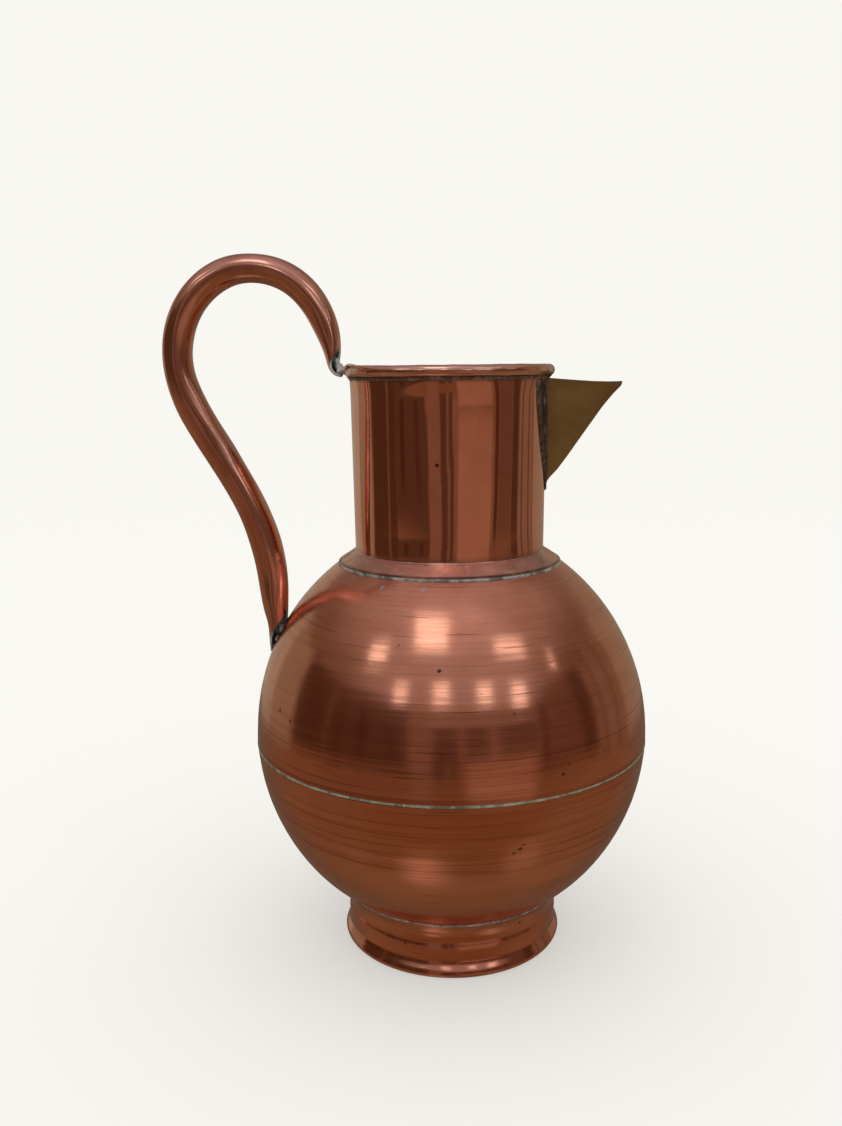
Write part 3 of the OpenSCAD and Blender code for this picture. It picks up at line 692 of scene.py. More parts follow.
# ------------------------------------------------------------------ neck
def neck():
    half = 0.4 / 62.0
    n = 300
    th = np.linspace(-PI + half, PI - half, n)
    t = th[:, None]
    big = Wave(41, 14, 1, 6, 300.0)
    mid = Wave(42, 12, 4, 11, 160.0)
    zo = np.linspace(NECK_Z0, NECK_Z1, 90)
    zi = zo[::-1]

    def d(z):
        k = smoothstep(z, NECK_Z0, NECK_Z0 + 14) * smoothstep(NECK_Z1 - z, 0.0, 12.0)
        e = smoothstep(PI - np.abs(t), 0.02, 0.25)
        flare = 0.6 * smoothstep(z, 362.0, 377.0)[None, :] + (1.2 * np.exp(-(t / 0.45) ** 2)) * smoothstep(z, 368.0, 378.5)[None, :]
        return (0.38 * big(t, z[None, :]) + 0.11 * mid(t, z[None, :]) - 0.05) * k[None, :] * e + flare * e

    R = np.hstack([neck_r(zo)[None, :] + d(zo), neck_r(zi)[None, :] - NECK_T + d(zi)])
    Z = np.ones((n, 1)) * np.hstack([zo, zi])[None, :]
    ob = turned("neck_rolled_sheet", R, Z, th, wrap=False, sharp=35)
    # the window behind the spout
    v = []
    for x in (45.0, 75.0):
        for (y, z) in ((-15, 372.5), (15, 372.5), (2, 324), (-2, 324)):
            v.append((x, y, z))
    cut = new_mesh("cut", v, [[0, 1, 2, 3], [7, 6, 5, 4], [0, 4, 5, 1], [1, 5, 6, 2], [2, 6, 7, 3], [3, 7, 4, 0]])
    md = ob.modifiers.new("window", "BOOLEAN")
    md.operation = "DIFFERENCE"
    md.solver = "EXACT"
    md.object = cut
    applied(ob)
    bpy.data.objects.remove(cut)
    ob.data.shade_smooth()
    ob.data.set_sharp_from_angle(angle=math.radians(35))
    return ob


place(neck(), M_NECK, "neck_copper", "neck_tube")


def neck_seam():
    zz = np.linspace(NECK_Z0 + 1.0, NECK_Z1 - 1.0, 160)
    w = Wave(45, 12, 0, 1, 7.0)
    w2 = Wave(46, 12, 0, 1, 13.0)
    half = 0.55 + 0.16 * w(0.0, zz) + 0.10 * w2(0.0, zz)
    proud = 0.16 + 0.05 * w2(1.0, zz)
    P = []
    for z, h, p in zip(zz, half, proud):
        r = neck_r(z)
        y = np.array([-0.38, -h, -h * 0.6, 0.0, h * 0.6, h, 0.38, 0.38, -0.38])
        rr = np.array([r - 0.1, r + 0.02, r + p * 0.8, r + p, r + p * 0.8, r + 0.02, r - 0.1, r - 1.25, r - 1.25])
        P.append(np.stack([-np.sqrt(rr * rr - y * y), y, np.full(9, z)], -1))
    return loft("neck_seam_line", np.array(P), wrap=False, sharp=60)


place(neck_seam(), M_SOLDER, "solder", "neck_seam_braze")


# ------------------------------------------------------------------ rim
def rim():
    th = around(420)
    t = th[:, None]
    w = Wave(51, 16, 3, 18, 8.0)
    w2 = Wave(52, 16, 14, 46, 8.0)
    ao = np.radians(np.linspace(-72, 250, 40))
    ai = np.radians(np.linspace(250, -72, 22))
    so = np.degrees(ao) * 0.06
    k = 0.10 * w(t, so[None, :]) + 0.05 * w2(t, so[None, :]) - 0.12
    # pulled out a little by the spout, and thick and lifted where the handle is soldered
    out = 1.2 * np.exp(-(t / 0.45) ** 2)
    back = np.exp(-((PI - np.abs(t)) / 0.42) ** 2)
    k = k + 0.55 * back
    R = np.hstack([NECK_R1 + out + (RIM_R + k) * np.cos(ao), NECK_R1 + out + WIRE_R * np.cos(ai) + 0 * t])
    Z = np.hstack([RIM_Z + 0.9 * back + (RIM_R + k) * np.sin(ao), RIM_Z + 0.9 * back + WIRE_R * np.sin(ai)])
    return turned("rim_rolled_bead", R, Z, th, sharp=45)


place(rim(), M_RIM, "rim_copper", "rim_bead")


def rim_fillet():
    th = around(600)
    w = Wave(55, 14, 4, 40, 9.0)
    w2 = Wave(56, 14, 20, 90, 9.0)
    drop = 1.5 + 0.30 * w(th, 0) + 0.08 * w2(th, 2)
    out = 0.6 + 1.2 * np.exp(-(th / 0.45) ** 2)
    R, Z = [], []
    z0 = RIM_Z - RIM_R
    for q in np.linspace(0, 1, 8):
        r = NECK_R1 + 0.05 + 1.5 * q ** 1.6 + out
        z = z0 - drop * (1 - q) ** 1.5 + 0.30 * q
        R.append(np.full_like(th, r))
        Z.append(z)
    R.append(NECK_R1 + 1.3 + out)
    Z.append(np.full_like(th, z0 + 0.5))
    R.append(NECK_R1 - 0.2 + out)
    Z.append(np.full_like(th, z0 + 0.4))
    R.append(NECK_R1 - 0.3 + out * 0.9)
    Z.append(z0 - drop * 0.9)
    return turned("rim_solder_fillet", np.stack(R, 1), np.stack(Z, 1), th, sharp=60)


place(rim_fillet(), M_SOLDER_DARK, "solder", "rim_solder")


# ------------------------------------------------------------------ foot
FZ = np.arange(0.0, 42.0, 0.1)
FR = np.interp(FZ, [3, 4.0, 5.2, 7.0, 8.8, 10.2, 11, 13.5, 17, 20, 23, 27, 32, 37.5], [73.85, 73.65, 73.1, 72.05, 71.0, 70.55, 70.5, 70.9, 71.3, 71.2, 70.4, 70.9, 72.3, 74.7])
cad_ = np.exp(-(np.arange(-25, 26) / 10.0) ** 2)
FR = np.convolve(np.pad(FR, 25, mode="edge"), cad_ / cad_.sum(), "valid")


def foot_side(z):
    return np.interp(z, FZ, FR)


def foot():
    th = around(384)
    t = th[:, None]
    w = Wave(61, 16, 2, 9, 40.0)
    w2 = Wave(62, 12, 8, 24, 20.0)
    T = 1.3
    pts = []
    for r in np.linspace(71.2, FOOT_TOP_R, 5):
        pts.append((r, float(lo_z(r)) - 0.03))
    for z in np.linspace(36.0, 3.6, 100):
        pts.append((float(foot_side(z)), z))
    hx, hz, hr = 70.6, 3.0, 3.3
    fa = math.degrees(math.asin(hz / hr))
    pts += arc(hx, hz, hr, 0, -fa, 12).tolist()
    pts += arc(hx, hz, hr, fa - 180, -240, 20).tolist()
    pts += arc(hx, hz, 2.0, -240, 50, 30).tolist()
    for z in np.linspace(5.0, 31.0, 60):
        pts.append((float(foot_side(z)) - T, z))
    p = np.array(pts)
    one = np.ones((len(th), 1))
    z = one * p[:, 1][None, :]
    k = smoothstep(p[:, 1], 1.0, 8.0) * smoothstep(34.5 - p[:, 1], 0.0, 6.0)
    r = p[:, 0][None, :] + (0.14 * w(t, p[:, 1][None, :]) + 0.04 * w2(t, p[:, 1][None, :]) - 0.02) * k[None, :]
    return turned("foot_ring_spun", r, z, th, sharp=40)


place(foot(), M_FOOT, "foot_copper", "foot_ring")

# ------------------------------------------------------------------ handle
HS = np.array([
    [-119.2, 197.5, 3, 12, 6, 0], [-118.2, 204, 5.5, 20, 8, 0], [-116.6, 211, 10.2, 23.5, 8, 0],
    [-115.7, 218, 13.8, 24, 7, 0], [-116.3, 226, 16.8, 23, 5, 0], [-116.9, 235, 18.8, 22, 2, 0],
    [-117.6, 246, 20.2, 21, 0, 0], [-119.4, 260, 20.8, 20.8, 0, 0], [-122.4, 274, 21.2, 20.6, 0, 0],
    [-127.2, 288.5, 20.8, 20.6, 0, 0], [-133.6, 303, 20.8, 20.6, 0, 0], [-141, 317, 21, 20.6, 0, 0],
    [-149.4, 331.5, 21.4, 20.6, 0, 0], [-158, 346, 21.2, 20.6, 0, 0], [-165.8, 360.5, 21.4, 20.4, 0, 0],
    [-171.4, 375, 20.2, 20.2, 0, 0], [-174, 389, 19.6, 20, 0, 0], [-173.4, 402.5, 20, 20, 0, 0],
    [-169.6, 416, 20.2, 20, 0, 0], [-162.4, 428.5, 20, 19.8, 0, 0], [-151.6, 439, 19.6, 19.6, 0, 0],
    [-138.4, 445.6, 19, 19.2, 0, 0], [-124.4, 447.4, 18.6, 19, 0, 0], [-111, 445.4, 18.6, 19, 0, 0],
    [-99, 439.6, 18.6, 19, 0, 0], [-89.2, 430.6, 18.6, 19.2, 0, 0], [-81.6, 419, 17.8, 19.6, 0, 0],
    [-76.8, 407, 15.6, 20.2, 0, 0.5], [-74.4, 397, 12, 21, 0, 2], [-73.7, 389.5, 8.8, 21.6, 0, 4],
    [-73.2, 384.8, 6.4, 21.6, 0, 5], [-71, 381.2, 4, 21, 0, 5], [-68.4, 379.9, 2.6, 19, 0, 4]], dtype=float)


def spline(u, Y, uq):
    """Natural cubic spline through Y at u, read at uq."""
    n = len(u)
    h = np.diff(u)
    A = np.zeros((n, n))
    B = np.zeros((n, Y.shape[1]))
    A[0, 0] = A[-1, -1] = 1
    for i in range(1, n - 1):
        A[i, i - 1], A[i, i], A[i, i + 1] = h[i - 1], 2 * (h[i - 1] + h[i]), h[i]
        B[i] = 6 * ((Y[i + 1] - Y[i]) / h[i] - (Y[i] - Y[i - 1]) / h[i - 1])
    M = np.linalg.solve(A, B)
    k = np.clip(np.searchsorted(u, uq, side="right") - 1, 0, n - 2)
    a = (u[k + 1] - uq)[:, None]
    b = (uq - u[k])[:, None]
    H = h[k][:, None]
    return (M[k] * a ** 3 + M[k + 1] * b ** 3) / (6 * H) + (Y[k] / H - M[k] * H / 6) * a + (Y[k + 1] / H - M[k + 1] * H / 6) * b


HU = np.concatenate([[0], np.cumsum(np.hypot(np.diff(HS[:, 0]), np.diff(HS[:, 1])))])
HL = HU[-1]
seam_u0, seam_u1 = HU[6], HU[-6]


def handle_frames(uq):
    q = spline(HU, HS[:, :4], uq)
    br = np.stack([np.interp(uq, HU, HS[:, 4]), np.interp(uq, HU, HS[:, 5])], -1)
    e = 0.4
    pa = spline(HU, HS[:, :2], np.clip(uq - e, 0, HL))
    pb = spline(HU, HS[:, :2], np.clip(uq + e, 0, HL))
    beta = np.arctan2(pb[:, 0] - pa[:, 0], pb[:, 1] - pa[:, 1])
    return q, br, beta


HW1, HW2 = Wave(71, 16, 1, 4, 90.0), Wave(72, 16, 2, 7, 38.0)


def tube_dents(t, U):
    calm = smoothstep(U, 5, 30) * smoothstep(HL - U, 5, 30)
    return (0.22 * HW1(t, U) + 0.10 * HW2(t, U) - 0.30) * calm


def handle():
    u = np.concatenate([np.linspace(0, 70, 90)[:-1], np.linspace(70, HL - 60, 190)[:-1], np.linspace(HL - 60, HL, 90)])
    q, br, beta = handle_frames(u)
    x, z, w, d = q.T
    S = len(u)
    T = 1.3
    tt = np.radians(np.arange(0, 360, 0.5))
    a0 = np.zeros(S)
    a1 = np.zeros(S)
    b0 = np.zeros(S)
    b1 = np.zeros(S)
    open_a = np.zeros(S, bool)
    open_b = np.zeros(S, bool)
    for i in range(S):
        n1 = w[i] / 2 - T + br[i, 0]
        n0 = min(n1 - 0.3, -w[i] / 2 + T - br[i, 1])
        dv = d[i] - 2 * T + 0.5 * br[i, 0]
        yc = -0.35 * br[i, 0]
        n = w[i] / 2 * np.cos(tt)
        y = d[i] / 2 * np.sin(tt)
        ins = ((n - (n0 + n1) / 2) / ((n1 - n0) / 2)) ** 2 + ((y - yc) / (dv / 2)) ** 2 < 1
        near0 = np.where(tt > PI, tt - 2 * PI, tt)
        sel = ins & (np.abs(near0) < 2.4)
        slit = 0.4 / (d[i] / 2)
        if br[i, 0] > 0.2 and sel.any():
            a0[i], a1[i] = near0[sel].min(), near0[sel].max()
            open_a[i] = True
        else:
            a0[i], a1[i] = -slit, slit
            open_a[i] = u[i] < seam_u1 + 4
        selb = ins & (np.abs(tt - PI) < 2.2)
        if br[i, 1] > 0.2 and selb.any():
            b0[i], b1[i] = tt[selb].min(), tt[selb].max()
            open_b[i] = True
        else:
            b0[i], b1[i] = PI - 0.02, PI + 0.02
    # ease the openings' edges along the tube
    ker = np.exp(-np.linspace(-2, 2, 9) ** 2)
    ker /= ker.sum()

    def ease(v):
        p = np.concatenate([np.full(4, v[0]), v, np.full(4, v[-1])])
        return np.convolve(p, ker, "valid")

    slit = 0.4 / (d / 2)
    # the lower end is cut back at the front, the upper end towards the mouth
    low = u < HL / 2
    a0 = np.where(low, -np.interp(z, [196, 203, 211, 218, 225, 231], [2.6, 2.5, 2.0, 1.35, 0.45, 0.0]), 0.0)
    a1 = np.where(low, np.interp(z, [196, 203, 211, 218, 225, 231], [1.3, 1.0, 0.6, 0.35, 0.12, 0.0]), 0.0)
    a0 = np.minimum(ease(a0), -slit)
    a1 = np.maximum(ease(a1), slit)
    open_a = u < seam_u1 + 4
    end = u > HL - 80.0
    b1 = np.where(~end, 0.0, np.interp(z, [380, 383, 386, 389.5, 393, 396, 399], [2.2, 2.15, 2.0, 1.65, 1.15, 0.5, 0.0]))
    b0 = np.where(~end, 0.0, np.interp(z, [380, 383, 386, 389.5, 393, 396, 399], [1.1, 0.8, 0.4, 0.25, 0.15, 0.06, 0.0]))
    open_b = b1 > 0.02
    b0, b1 = PI - np.maximum(ease(b0), 0.02), PI + np.maximum(ease(b1), 0.02)
    # away from the top opening, spread the columns evenly again
    fade = smoothstep(HL - u, 75.0, 140.0)
    b0 = b0 * (1 - fade) + (PI - 0.35) * fade
    b1 = b1 * (1 - fade) + (PI + 0.35) * fade
    K0, KA, KB = 4, 26, 8
    t = np.zeros((S, K0 + KA + KB + KA))
    for i in range(S):
        t[i] = np.concatenate([
            np.linspace(a0[i], a1[i], K0 + 1)[:-1],
            np.linspace(a1[i], b0[i], KA + 1)[:-1],
            np.linspace(b0[i], b1[i], KB + 1)[:-1],
            np.linspace(b1[i], a0[i] + 2 * PI, KA + 1)[:-1]])
    M = t.shape[1]
    U = u[:, None]
    dd = tube_dents(t, U)
    # a long shallow crease down the lower third, towards the front
    crease = np.exp(-((t - (2 * PI - 1.9)) / 0.16) ** 2) * smoothstep(U, 35, 60) * smoothstep(150 - U, 0, 50)
    dd = dd - 0.45 * crease
    wn = w[:, None] / 2
    dn = d[:, None] / 2
    n = (wn + dd) * np.cos(t)
    y = (dn + dd) * np.sin(t)
    gx = np.cos(t) / wn
    gy = np.sin(t) / dn
    g = np.hypot(gx, gy)
    ni = n - T * gx / g
    yi = y - T * gy / g
    cb, sb = np.cos(beta)[:, None], np.sin(beta)[:, None]

    def world(nn, yy):
        return np.stack([x[:, None] + nn * cb, yy, z[:, None] - nn * sb], -1)

    O, I_ = world(n, y), world(ni, yi)

    def keep_out(P):
        """Pushes points out of the bowl and out of the rim."""
        r = np.hypot(P[..., 0], P[..., 1])
        th = np.arctan2(P[..., 1], P[..., 0])
        zz = P[..., 2].copy()
        dr, dz = r - UC, zz - EZ
        L = np.hypot(dr, dz)
        inside = (L < UR + 0.10) & (zz < 260)
        f = np.where(inside, (UR + 0.10) / L, 1.0)
        r = np.where(inside, UC + dr * f, r)
        zz = np.where(inside, EZ + dz * f, zz)
        dr, dz = r - NECK_R1, zz - RIM_Z
        L = np.maximum(np.hypot(dr, dz), 1e-6)
        inside = L < RIM_R + 0.06
        f = np.where(inside, (RIM_R + 0.06) / L, 1.0)
        r = np.where(inside, NECK_R1 + dr * f, r)
        zz = np.where(inside, RIM_Z + dz * f, zz)
        return np.stack([r * np.cos(th), r * np.sin(th), zz], -1)

    O, I_ = keep_out(O), keep_out(I_)
    V = np.concatenate([O.reshape(-1, 3), I_.reshape(-1, 3)])
    off = S * M
    mask = np.ones((S - 1, M), bool)
    for i in range(S - 1):
        if open_a[i] or open_a[i + 1]:
            mask[i, 0:K0] = False
        if open_b[i] and open_b[i + 1]:
            mask[i, K0 + KA:K0 + KA + KB] = False
    faces = []
    vid = lambda i, k: i * M + (k % M)
    for i in range(S - 1):
        for k in range(M):
            if not mask[i, k]:
                continue
            a, b, c, e = vid(i, k), vid(i, k + 1), vid(i + 1, k + 1), vid(i + 1, k)
            faces.append([a, b, c, e])
            faces.append([off + a, off + e, off + c, off + b])
            if not mask[i, (k - 1) % M]:
                faces.append([a, e, off + e, off + a])
            if not mask[i, (k + 1) % M]:
                faces.append([b, off + b, off + c, c])
            if i == 0 or not mask[i - 1, k]:
                faces.append([a, off + a, off + b, b])
            if i == S - 2 or not mask[i + 1, k]:
                faces.append([e, c, off + c, off + e])
    used = sorted({v for f in faces for v in f})
    remap = {v: j for j, v in enumerate(used)}
    inside = [max(f) >= off for f in faces]
    V = V[used]
    faces = [[remap[v] for v in f] for f in faces]
    return new_mesh("handle_rolled_tube", V, faces, 50, merge=0.0), inside


hob, inside = handle()
place(hob, M_HANDLE, "handle_copper", "handle_tube")
hob.data.materials.append(M_TIN)
hob.data.polygons.foreach_set("material_index", np.array(inside, dtype=np.int32))


def handle_seam():
    u = np.linspace(seam_u0 - 6, seam_u1 + 2, 420)
    q, br, beta = handle_frames(u)
    x, z, w, d = q.T
    wa = Wave(75, 12, 0, 1, 8.0)
    wb = Wave(76, 12, 0, 1, 22.0)
    half = 0.50 + 0.12 * wa(0.0, u) + 0.12 * wb(0.0, u)
    proud = 0.0 + 0.05 * wb(1.0, u)
    P = []
    for i in range(len(u)):
        s = w[i] / 2 - 0.12 + float(tube_dents(0.0, np.array([u[i]]))[0])
        y = np.array([-0.36, -half[i], -half[i] * 0.5, half[i] * 0.5, half[i], 0.36, 0.36, -0.36])
        n = np.array([s - 0.25, s - 0.03, s + proud[i] + 0.10, s + proud[i] + 0.10, s - 0.03, s - 0.25, s - 1.1, s - 1.1])
        P.append(np.stack([x[i] + n * math.cos(beta[i]), y, z[i] - n * math.sin(beta[i])], -1))
    return loft("handle_seam_line", np.array(P), wrap=False, sharp=60)


place(handle_seam(), M_SOLDER, "solder", "handle_seam_braze")


# ------------------------------------------------------------------ lumps of solder
def blob(name, balls, voxel, seed, amp, avoid):
    """Balls (x, y, z, rx, ry, rz) melted into one lump, roughened, then pushed out of what it sits on."""
    bm = bmesh.new()
    for (x, y, z, rx, ry, rz) in balls:
        m = Matrix.Translation((x * MM, y * MM, z * MM)) @ Matrix.Diagonal((rx * MM, ry * MM, rz * MM, 1))
        bmesh.ops.create_icosphere(bm, subdivisions=3, radius=1.0, matrix=m)
    me = bpy.data.meshes.new(name)
    bm.to_mesh(me)
    bm.free()
    ob = bpy.data.objects.new(name, me)
    bpy.context.scene.collection.objects.link(ob)
    md = ob.modifiers.new("melt", "REMESH")
    md.mode = "VOXEL"
    md.voxel_size = voxel * MM
    sm = ob.modifiers.new("flow", "SMOOTH")
    sm.factor = 0.6
    sm.iterations = 10
    applied(ob)
    n = len(ob.data.vertices)
    co = np.empty(n * 3)
    no = np.empty(n * 3)
    ob.data.vertices.foreach_get("co", co)
    ob.data.vertex_normals.foreach_get("vector", no)
    co = co.reshape(-1, 3) / MM
    no = no.reshape(-1, 3)
    w1, w2 = Wave(seed, 14, 0, 0, 6.0), Wave(seed + 1, 14, 0, 0, 2.6)
    k = w1(0.0, co[:, 0] + 0.7 * co[:, 1]) * w1(0.0, co[:, 2] - 0.6 * co[:, 1]) + 0.5 * w2(0.0, co[:, 0] - co[:, 2]) * w2(0.0, co[:, 1])
    co = co + no * (amp * k)[:, None]
    co = avoid(co)
    ob.data.vertices.foreach_set("co", (co * MM).reshape(-1))
    ob.data.update()
    ob.data.shade_smooth()
    return ob


def out_of_bowl(co, gap=0.03):
    r = np.hypot(co[:, 0], co[:, 1])
    th = np.arctan2(co[:, 1], co[:, 0])
    dr, dz = r - UC, co[:, 2] - EZ
    L = np.hypot(dr, dz)
    f = np.where(L < UR + gap, (UR + gap) / L, 1.0)
    r, z = UC + dr * f, EZ + dz * f
    return np.stack([r * np.cos(th), r * np.sin(th), z], -1)


place(blob("handle_top_solder_lump", [(-71.2, 1, 388.5, 1.6, 5.5, 2.6), (-70.0, 0, 385.6, 2.6, 7.0, 2.4), (-68.2, 0, 383.2, 2.4, 8.0, 2.4), (-69.6, -4.5, 382.6, 1.9, 3.4, 2.0), (-68.6, 6, 381.8, 1.6, 2.4, 1.6)],
           0.35, 81, 0.07, lambda c: c), M_SOLDER_BRIGHT, "solder", "handle_top_solder")
place(blob("handle_foot_solder_lump", [(-116.8, -1, 201.2, 2.2, 6.5, 2.4), (-115.0, -1, 206.5, 2.4, 8.0, 3.0), (-112.6, -1, 213.5, 1.8, 7.0, 3.0), (-117.6, -4.5, 199.4, 1.2, 3, 1.2)],
           0.35, 83, 0.08, out_of_bowl), M_SOLDER_BRIGHT, "solder", "handle_lower_solder")

# ------------------------------------------------------------------ spout
TIP = np.array([113.2, 0.0, 373.3])
SK = 21.5 / (113.2 - math.sqrt(63.0 ** 2 - 21.5 ** 2))


def spout_foot(f, R):
    """Where the ray of the spout's plane at height fraction f (signed, 0 keel, 1 top edge) meets the neck."""
    k = SK * abs(f)
    # x^2 + k^2 (reach - x)^2 = R^2
    A = 1 + k * k
    B = -2 * k * k * TIP[0]
    C = k * k * TIP[0] ** 2 - R * R
    x = (-B + math.sqrt(B * B - 4 * A * C)) / (2 * A)
    dx = TIP[0] - x
    zk, zt = TIP[2] - 1.35 * dx, TIP[2] + 0.05 * dx
    return np.array([x, math.copysign(k * dx, f) if f else 0.0, zk + abs(f) * (zt - zk)])


def spout():
    NU, NV = 70, 61
    T = 1.15
    u = np.linspace(0.0, 1.0, NU) ** 0.9 * 0.968 + 0.032
    f = np.linspace(-1, 1, NV)
    f = np.sign(f) * np.abs(f) ** 1.25
    O = np.zeros((NU, NV, 3))
    wv = Wave(101, 12, 0, 2, 46.0)
    for j, q in enumerate(f):
        z_mid = TIP[2] - 25
        R = 63.0 + 0.04
        P = spout_foot(q, R)
        P = spout_foot(q, float(neck_r(P[2])) + 0.05)
        for i, uu in enumerate(u):
            O[i, j] = TIP + (P - TIP) * uu
    # round the fold along the keel: lift it a little
    h = np.linalg.norm(O[:, NV // 2] - TIP, axis=1)
    for i in range(NU):
        L = 1.4 * (TIP[0] - O[i, NV // 2, 0])
        e = min(1.6, 0.10 * L + 0.02)
        for j, q in enumerate(f):
            dist = abs(q) * L
            O[i, j, 2] += math.sqrt(dist * dist + e * e) - dist
    # a slight belly and planishing marks on the two sides, inwards only
    tx = np.gradient(O, axis=0)
    ty = np.gradient(O, axis=1)
    N = np.cross(tx, ty)
    N /= np.linalg.norm(N, axis=-1)[..., None] + 1e-12
    out = np.sign((N[..., 1] * np.sign(f)[None, :]))
    out[:, NV // 2] = np.sign(-N[:, NV // 2, 2])
    N = N * np.where(out == 0, 1, out)[..., None]
    uu = u[:, None]
    side = np.sin(PI * np.abs(f))[None, :] * np.sin(PI * uu)
    dent = -(0.35 + 0.22 * wv(f[None, :] * 3.0, uu * 50.0)) * side
    O = O + N * dent[..., None]
    th = np.minimum(T, 0.30 * SK * (TIP[0] - O[:, NV // 2, 0])[:, None] * np.ones((1, NV)) + 0.25)
    I_ = O - N * th[..., None]
    # the inner skin keeps clear of the middle plane
    sgn = np.sign(f)[None, :]
    I_[..., 1] = np.where(sgn > 0, np.maximum(I_[..., 1], 0.0), np.where(sgn < 0, np.minimum(I_[..., 1], 0.0), 0.0))
    I_[:, NV // 2, 2] = np.maximum(I_[:, NV // 2, 2], O[:, NV // 2, 2] + 1.2 * th[:, NV // 2])
    # the keel's line bows a little and turns in at the neck; the top edge dips and the tip turns up
    zk = O[:, NV // 2, 2].copy()
    bow = np.interp(zk, [311, 313.5, 315, 318, 327, 342, 357, 366.5, 371.4, 373.3], [-1.6, -1.6, -1.2, -0.6, -0.6, -1.25, -1.8, -1.7, -1.0, 0])[:, None] * (1 - np.abs(f))[None, :]
    dip = np.interp(O[:, 0, 0], [58, 67, 80, 94, 103, 108, 112], [0.7, 0.7, 0.25, -0.15, 0.0, 0.4, 0.9])[:, None] * (f ** 2)[None, :]
    for S_ in (O, I_):
        S_[..., 0] += bow
        S_[..., 2] += dip
    V = np.concatenate([O.reshape(-1, 3), I_.reshape(-1, 3)])
    off = NU * NV
    faces = []
    for i in range(NU - 1):
        for j in range(NV - 1):
            a, b, c, d = i * NV + j, i * NV + j + 1, (i + 1) * NV + j + 1, (i + 1) * NV + j
            faces.append([a, b, c, d])
            faces.append([off + a, off + d, off + c, off + b])
    for i in range(NU - 1):
        a, d = i * NV, (i + 1) * NV
        faces.append([a, d, off + d, off + a])
        a, d = i * NV + NV - 1, (i + 1) * NV + NV - 1
        faces.append([a, off + a, off + d, d])
    for j in range(NV - 1):
        a, b = j, j + 1
        faces.append([a, off + a, off + b, b])
        a, b = (NU - 1) * NV + j, (NU - 1) * NV + j + 1
        faces.append([a, b, off + b, off + a])
    return new_mesh("spout_folded_sheet", V, faces, 40)


place(spout(), M_BRASS, "brass_sheet", "spout")


def spout_solder():
    """The broad smear of solder on the neck along both sides of the spout: a fillet against the brass,
    a shallow hollow and a round outer ridge."""
    s = np.linspace(-1, 1, 321)
    t = 1 - np.abs(s)                       # 0 at the top edge, 1 under the keel
    sg = np.sign(s) + (s == 0)
    t = t ** 0.8
    fi = []
    for q in np.linspace(0, 1, 60):
        P = spout_foot(q, 63.0)
        fi.append((math.degrees(math.atan2(P[1], P[0])), P[2]))
    fi = np.array(fi)[::-1]
    zi = 376.5 - t * (376.5 - 309.5)
    ai = np.interp(zi, fi[::-1, 1], fi[::-1, 0])
    zo = 376.5 - t * (376.5 - 303.5)
    ao = np.interp(zo, [303.5, 305.0, 310, 316, 322, 329, 339, 360, 375.3], [0, 3.2, 7.2, 11.5, 16.0, 20.0, 23.7, 28.5, 32.8])
    ker = np.exp(-np.linspace(-2, 2, 15) ** 2)
    ker /= ker.sum()
    even = lambda v: np.convolve(np.pad(v, 7, mode="edge"), ker, "valid")
    Ai, Ao, Zi, Zo = even(ai * sg), even(ao * sg), even(zi), even(zo)
    w1, w2 = Wave(111, 14, 0, 0, 26.0), Wave(112, 14, 0, 0, 9.0)
    L = s * 80
    Ao = Ao + sg * (0.5 * w1(0.0, L) + 0.2 * w2(0.0, L))
    low = np.exp(-(s / 0.16) ** 2)
    P = []
    v = np.concatenate([[-0.25, -0.12], np.linspace(0, 1, 23)])
    for i in range(len(s)):
        vv = np.clip(v, 0, 1)
        fil = 1.15 * np.exp(-(vv / 0.16) ** 2)
        ridge = 0.85 * np.exp(-((vv - 0.80) / 0.12) ** 2) * (1 + 0.12 * float(w1(1.0, L[i])))
        h = (fil + ridge + 0.22 + 0.9 * low[i] * (1 - vv)) * np.clip((1 - vv) / 0.10, 0, 1) ** 0.6
        h = h * (1 + 0.06 * w2(2.0, L[i] + 9 * vv)) + 0.03
        a = np.radians(Ai[i] + (Ao[i] - Ai[i]) * v)
        z = Zi[i] + (Zo[i] - Zi[i]) * v
        z = np.minimum(z, 376.5)
        flare = 0.6 * smoothstep(z, 362.0, 377.0) + 1.2 * np.exp(-(a / 0.45) ** 2) * smoothstep(z, 368.0, 378.5)
        R = neck_r(z) + flare + np.minimum(h, 1.75)
        ring = [(R[k] * math.cos(a[k]), R[k] * math.sin(a[k]), z[k]) for k in range(len(v))]
        for k in (len(v) - 1, len(v) // 2, 0):
            R0 = float(neck_r(z[k])) + float(flare[k]) - 0.5
            ring.append((R0 * math.cos(a[k]), R0 * math.sin(a[k]), z[k]))
        P.append(ring)
    return loft("spout_solder_band", np.array(P), wrap=False, sharp=60)


place(spout_solder(), M_SOLDER_SPOUT, "solder", "spout_solder")

# the wires stay as the frame has them
for nm in ("rim_wire", "foot_wire"):
    ob = frame["nodes"][nm]
    ob.data.materials.clear()
    ob.data.materials.append(M_WIRE)

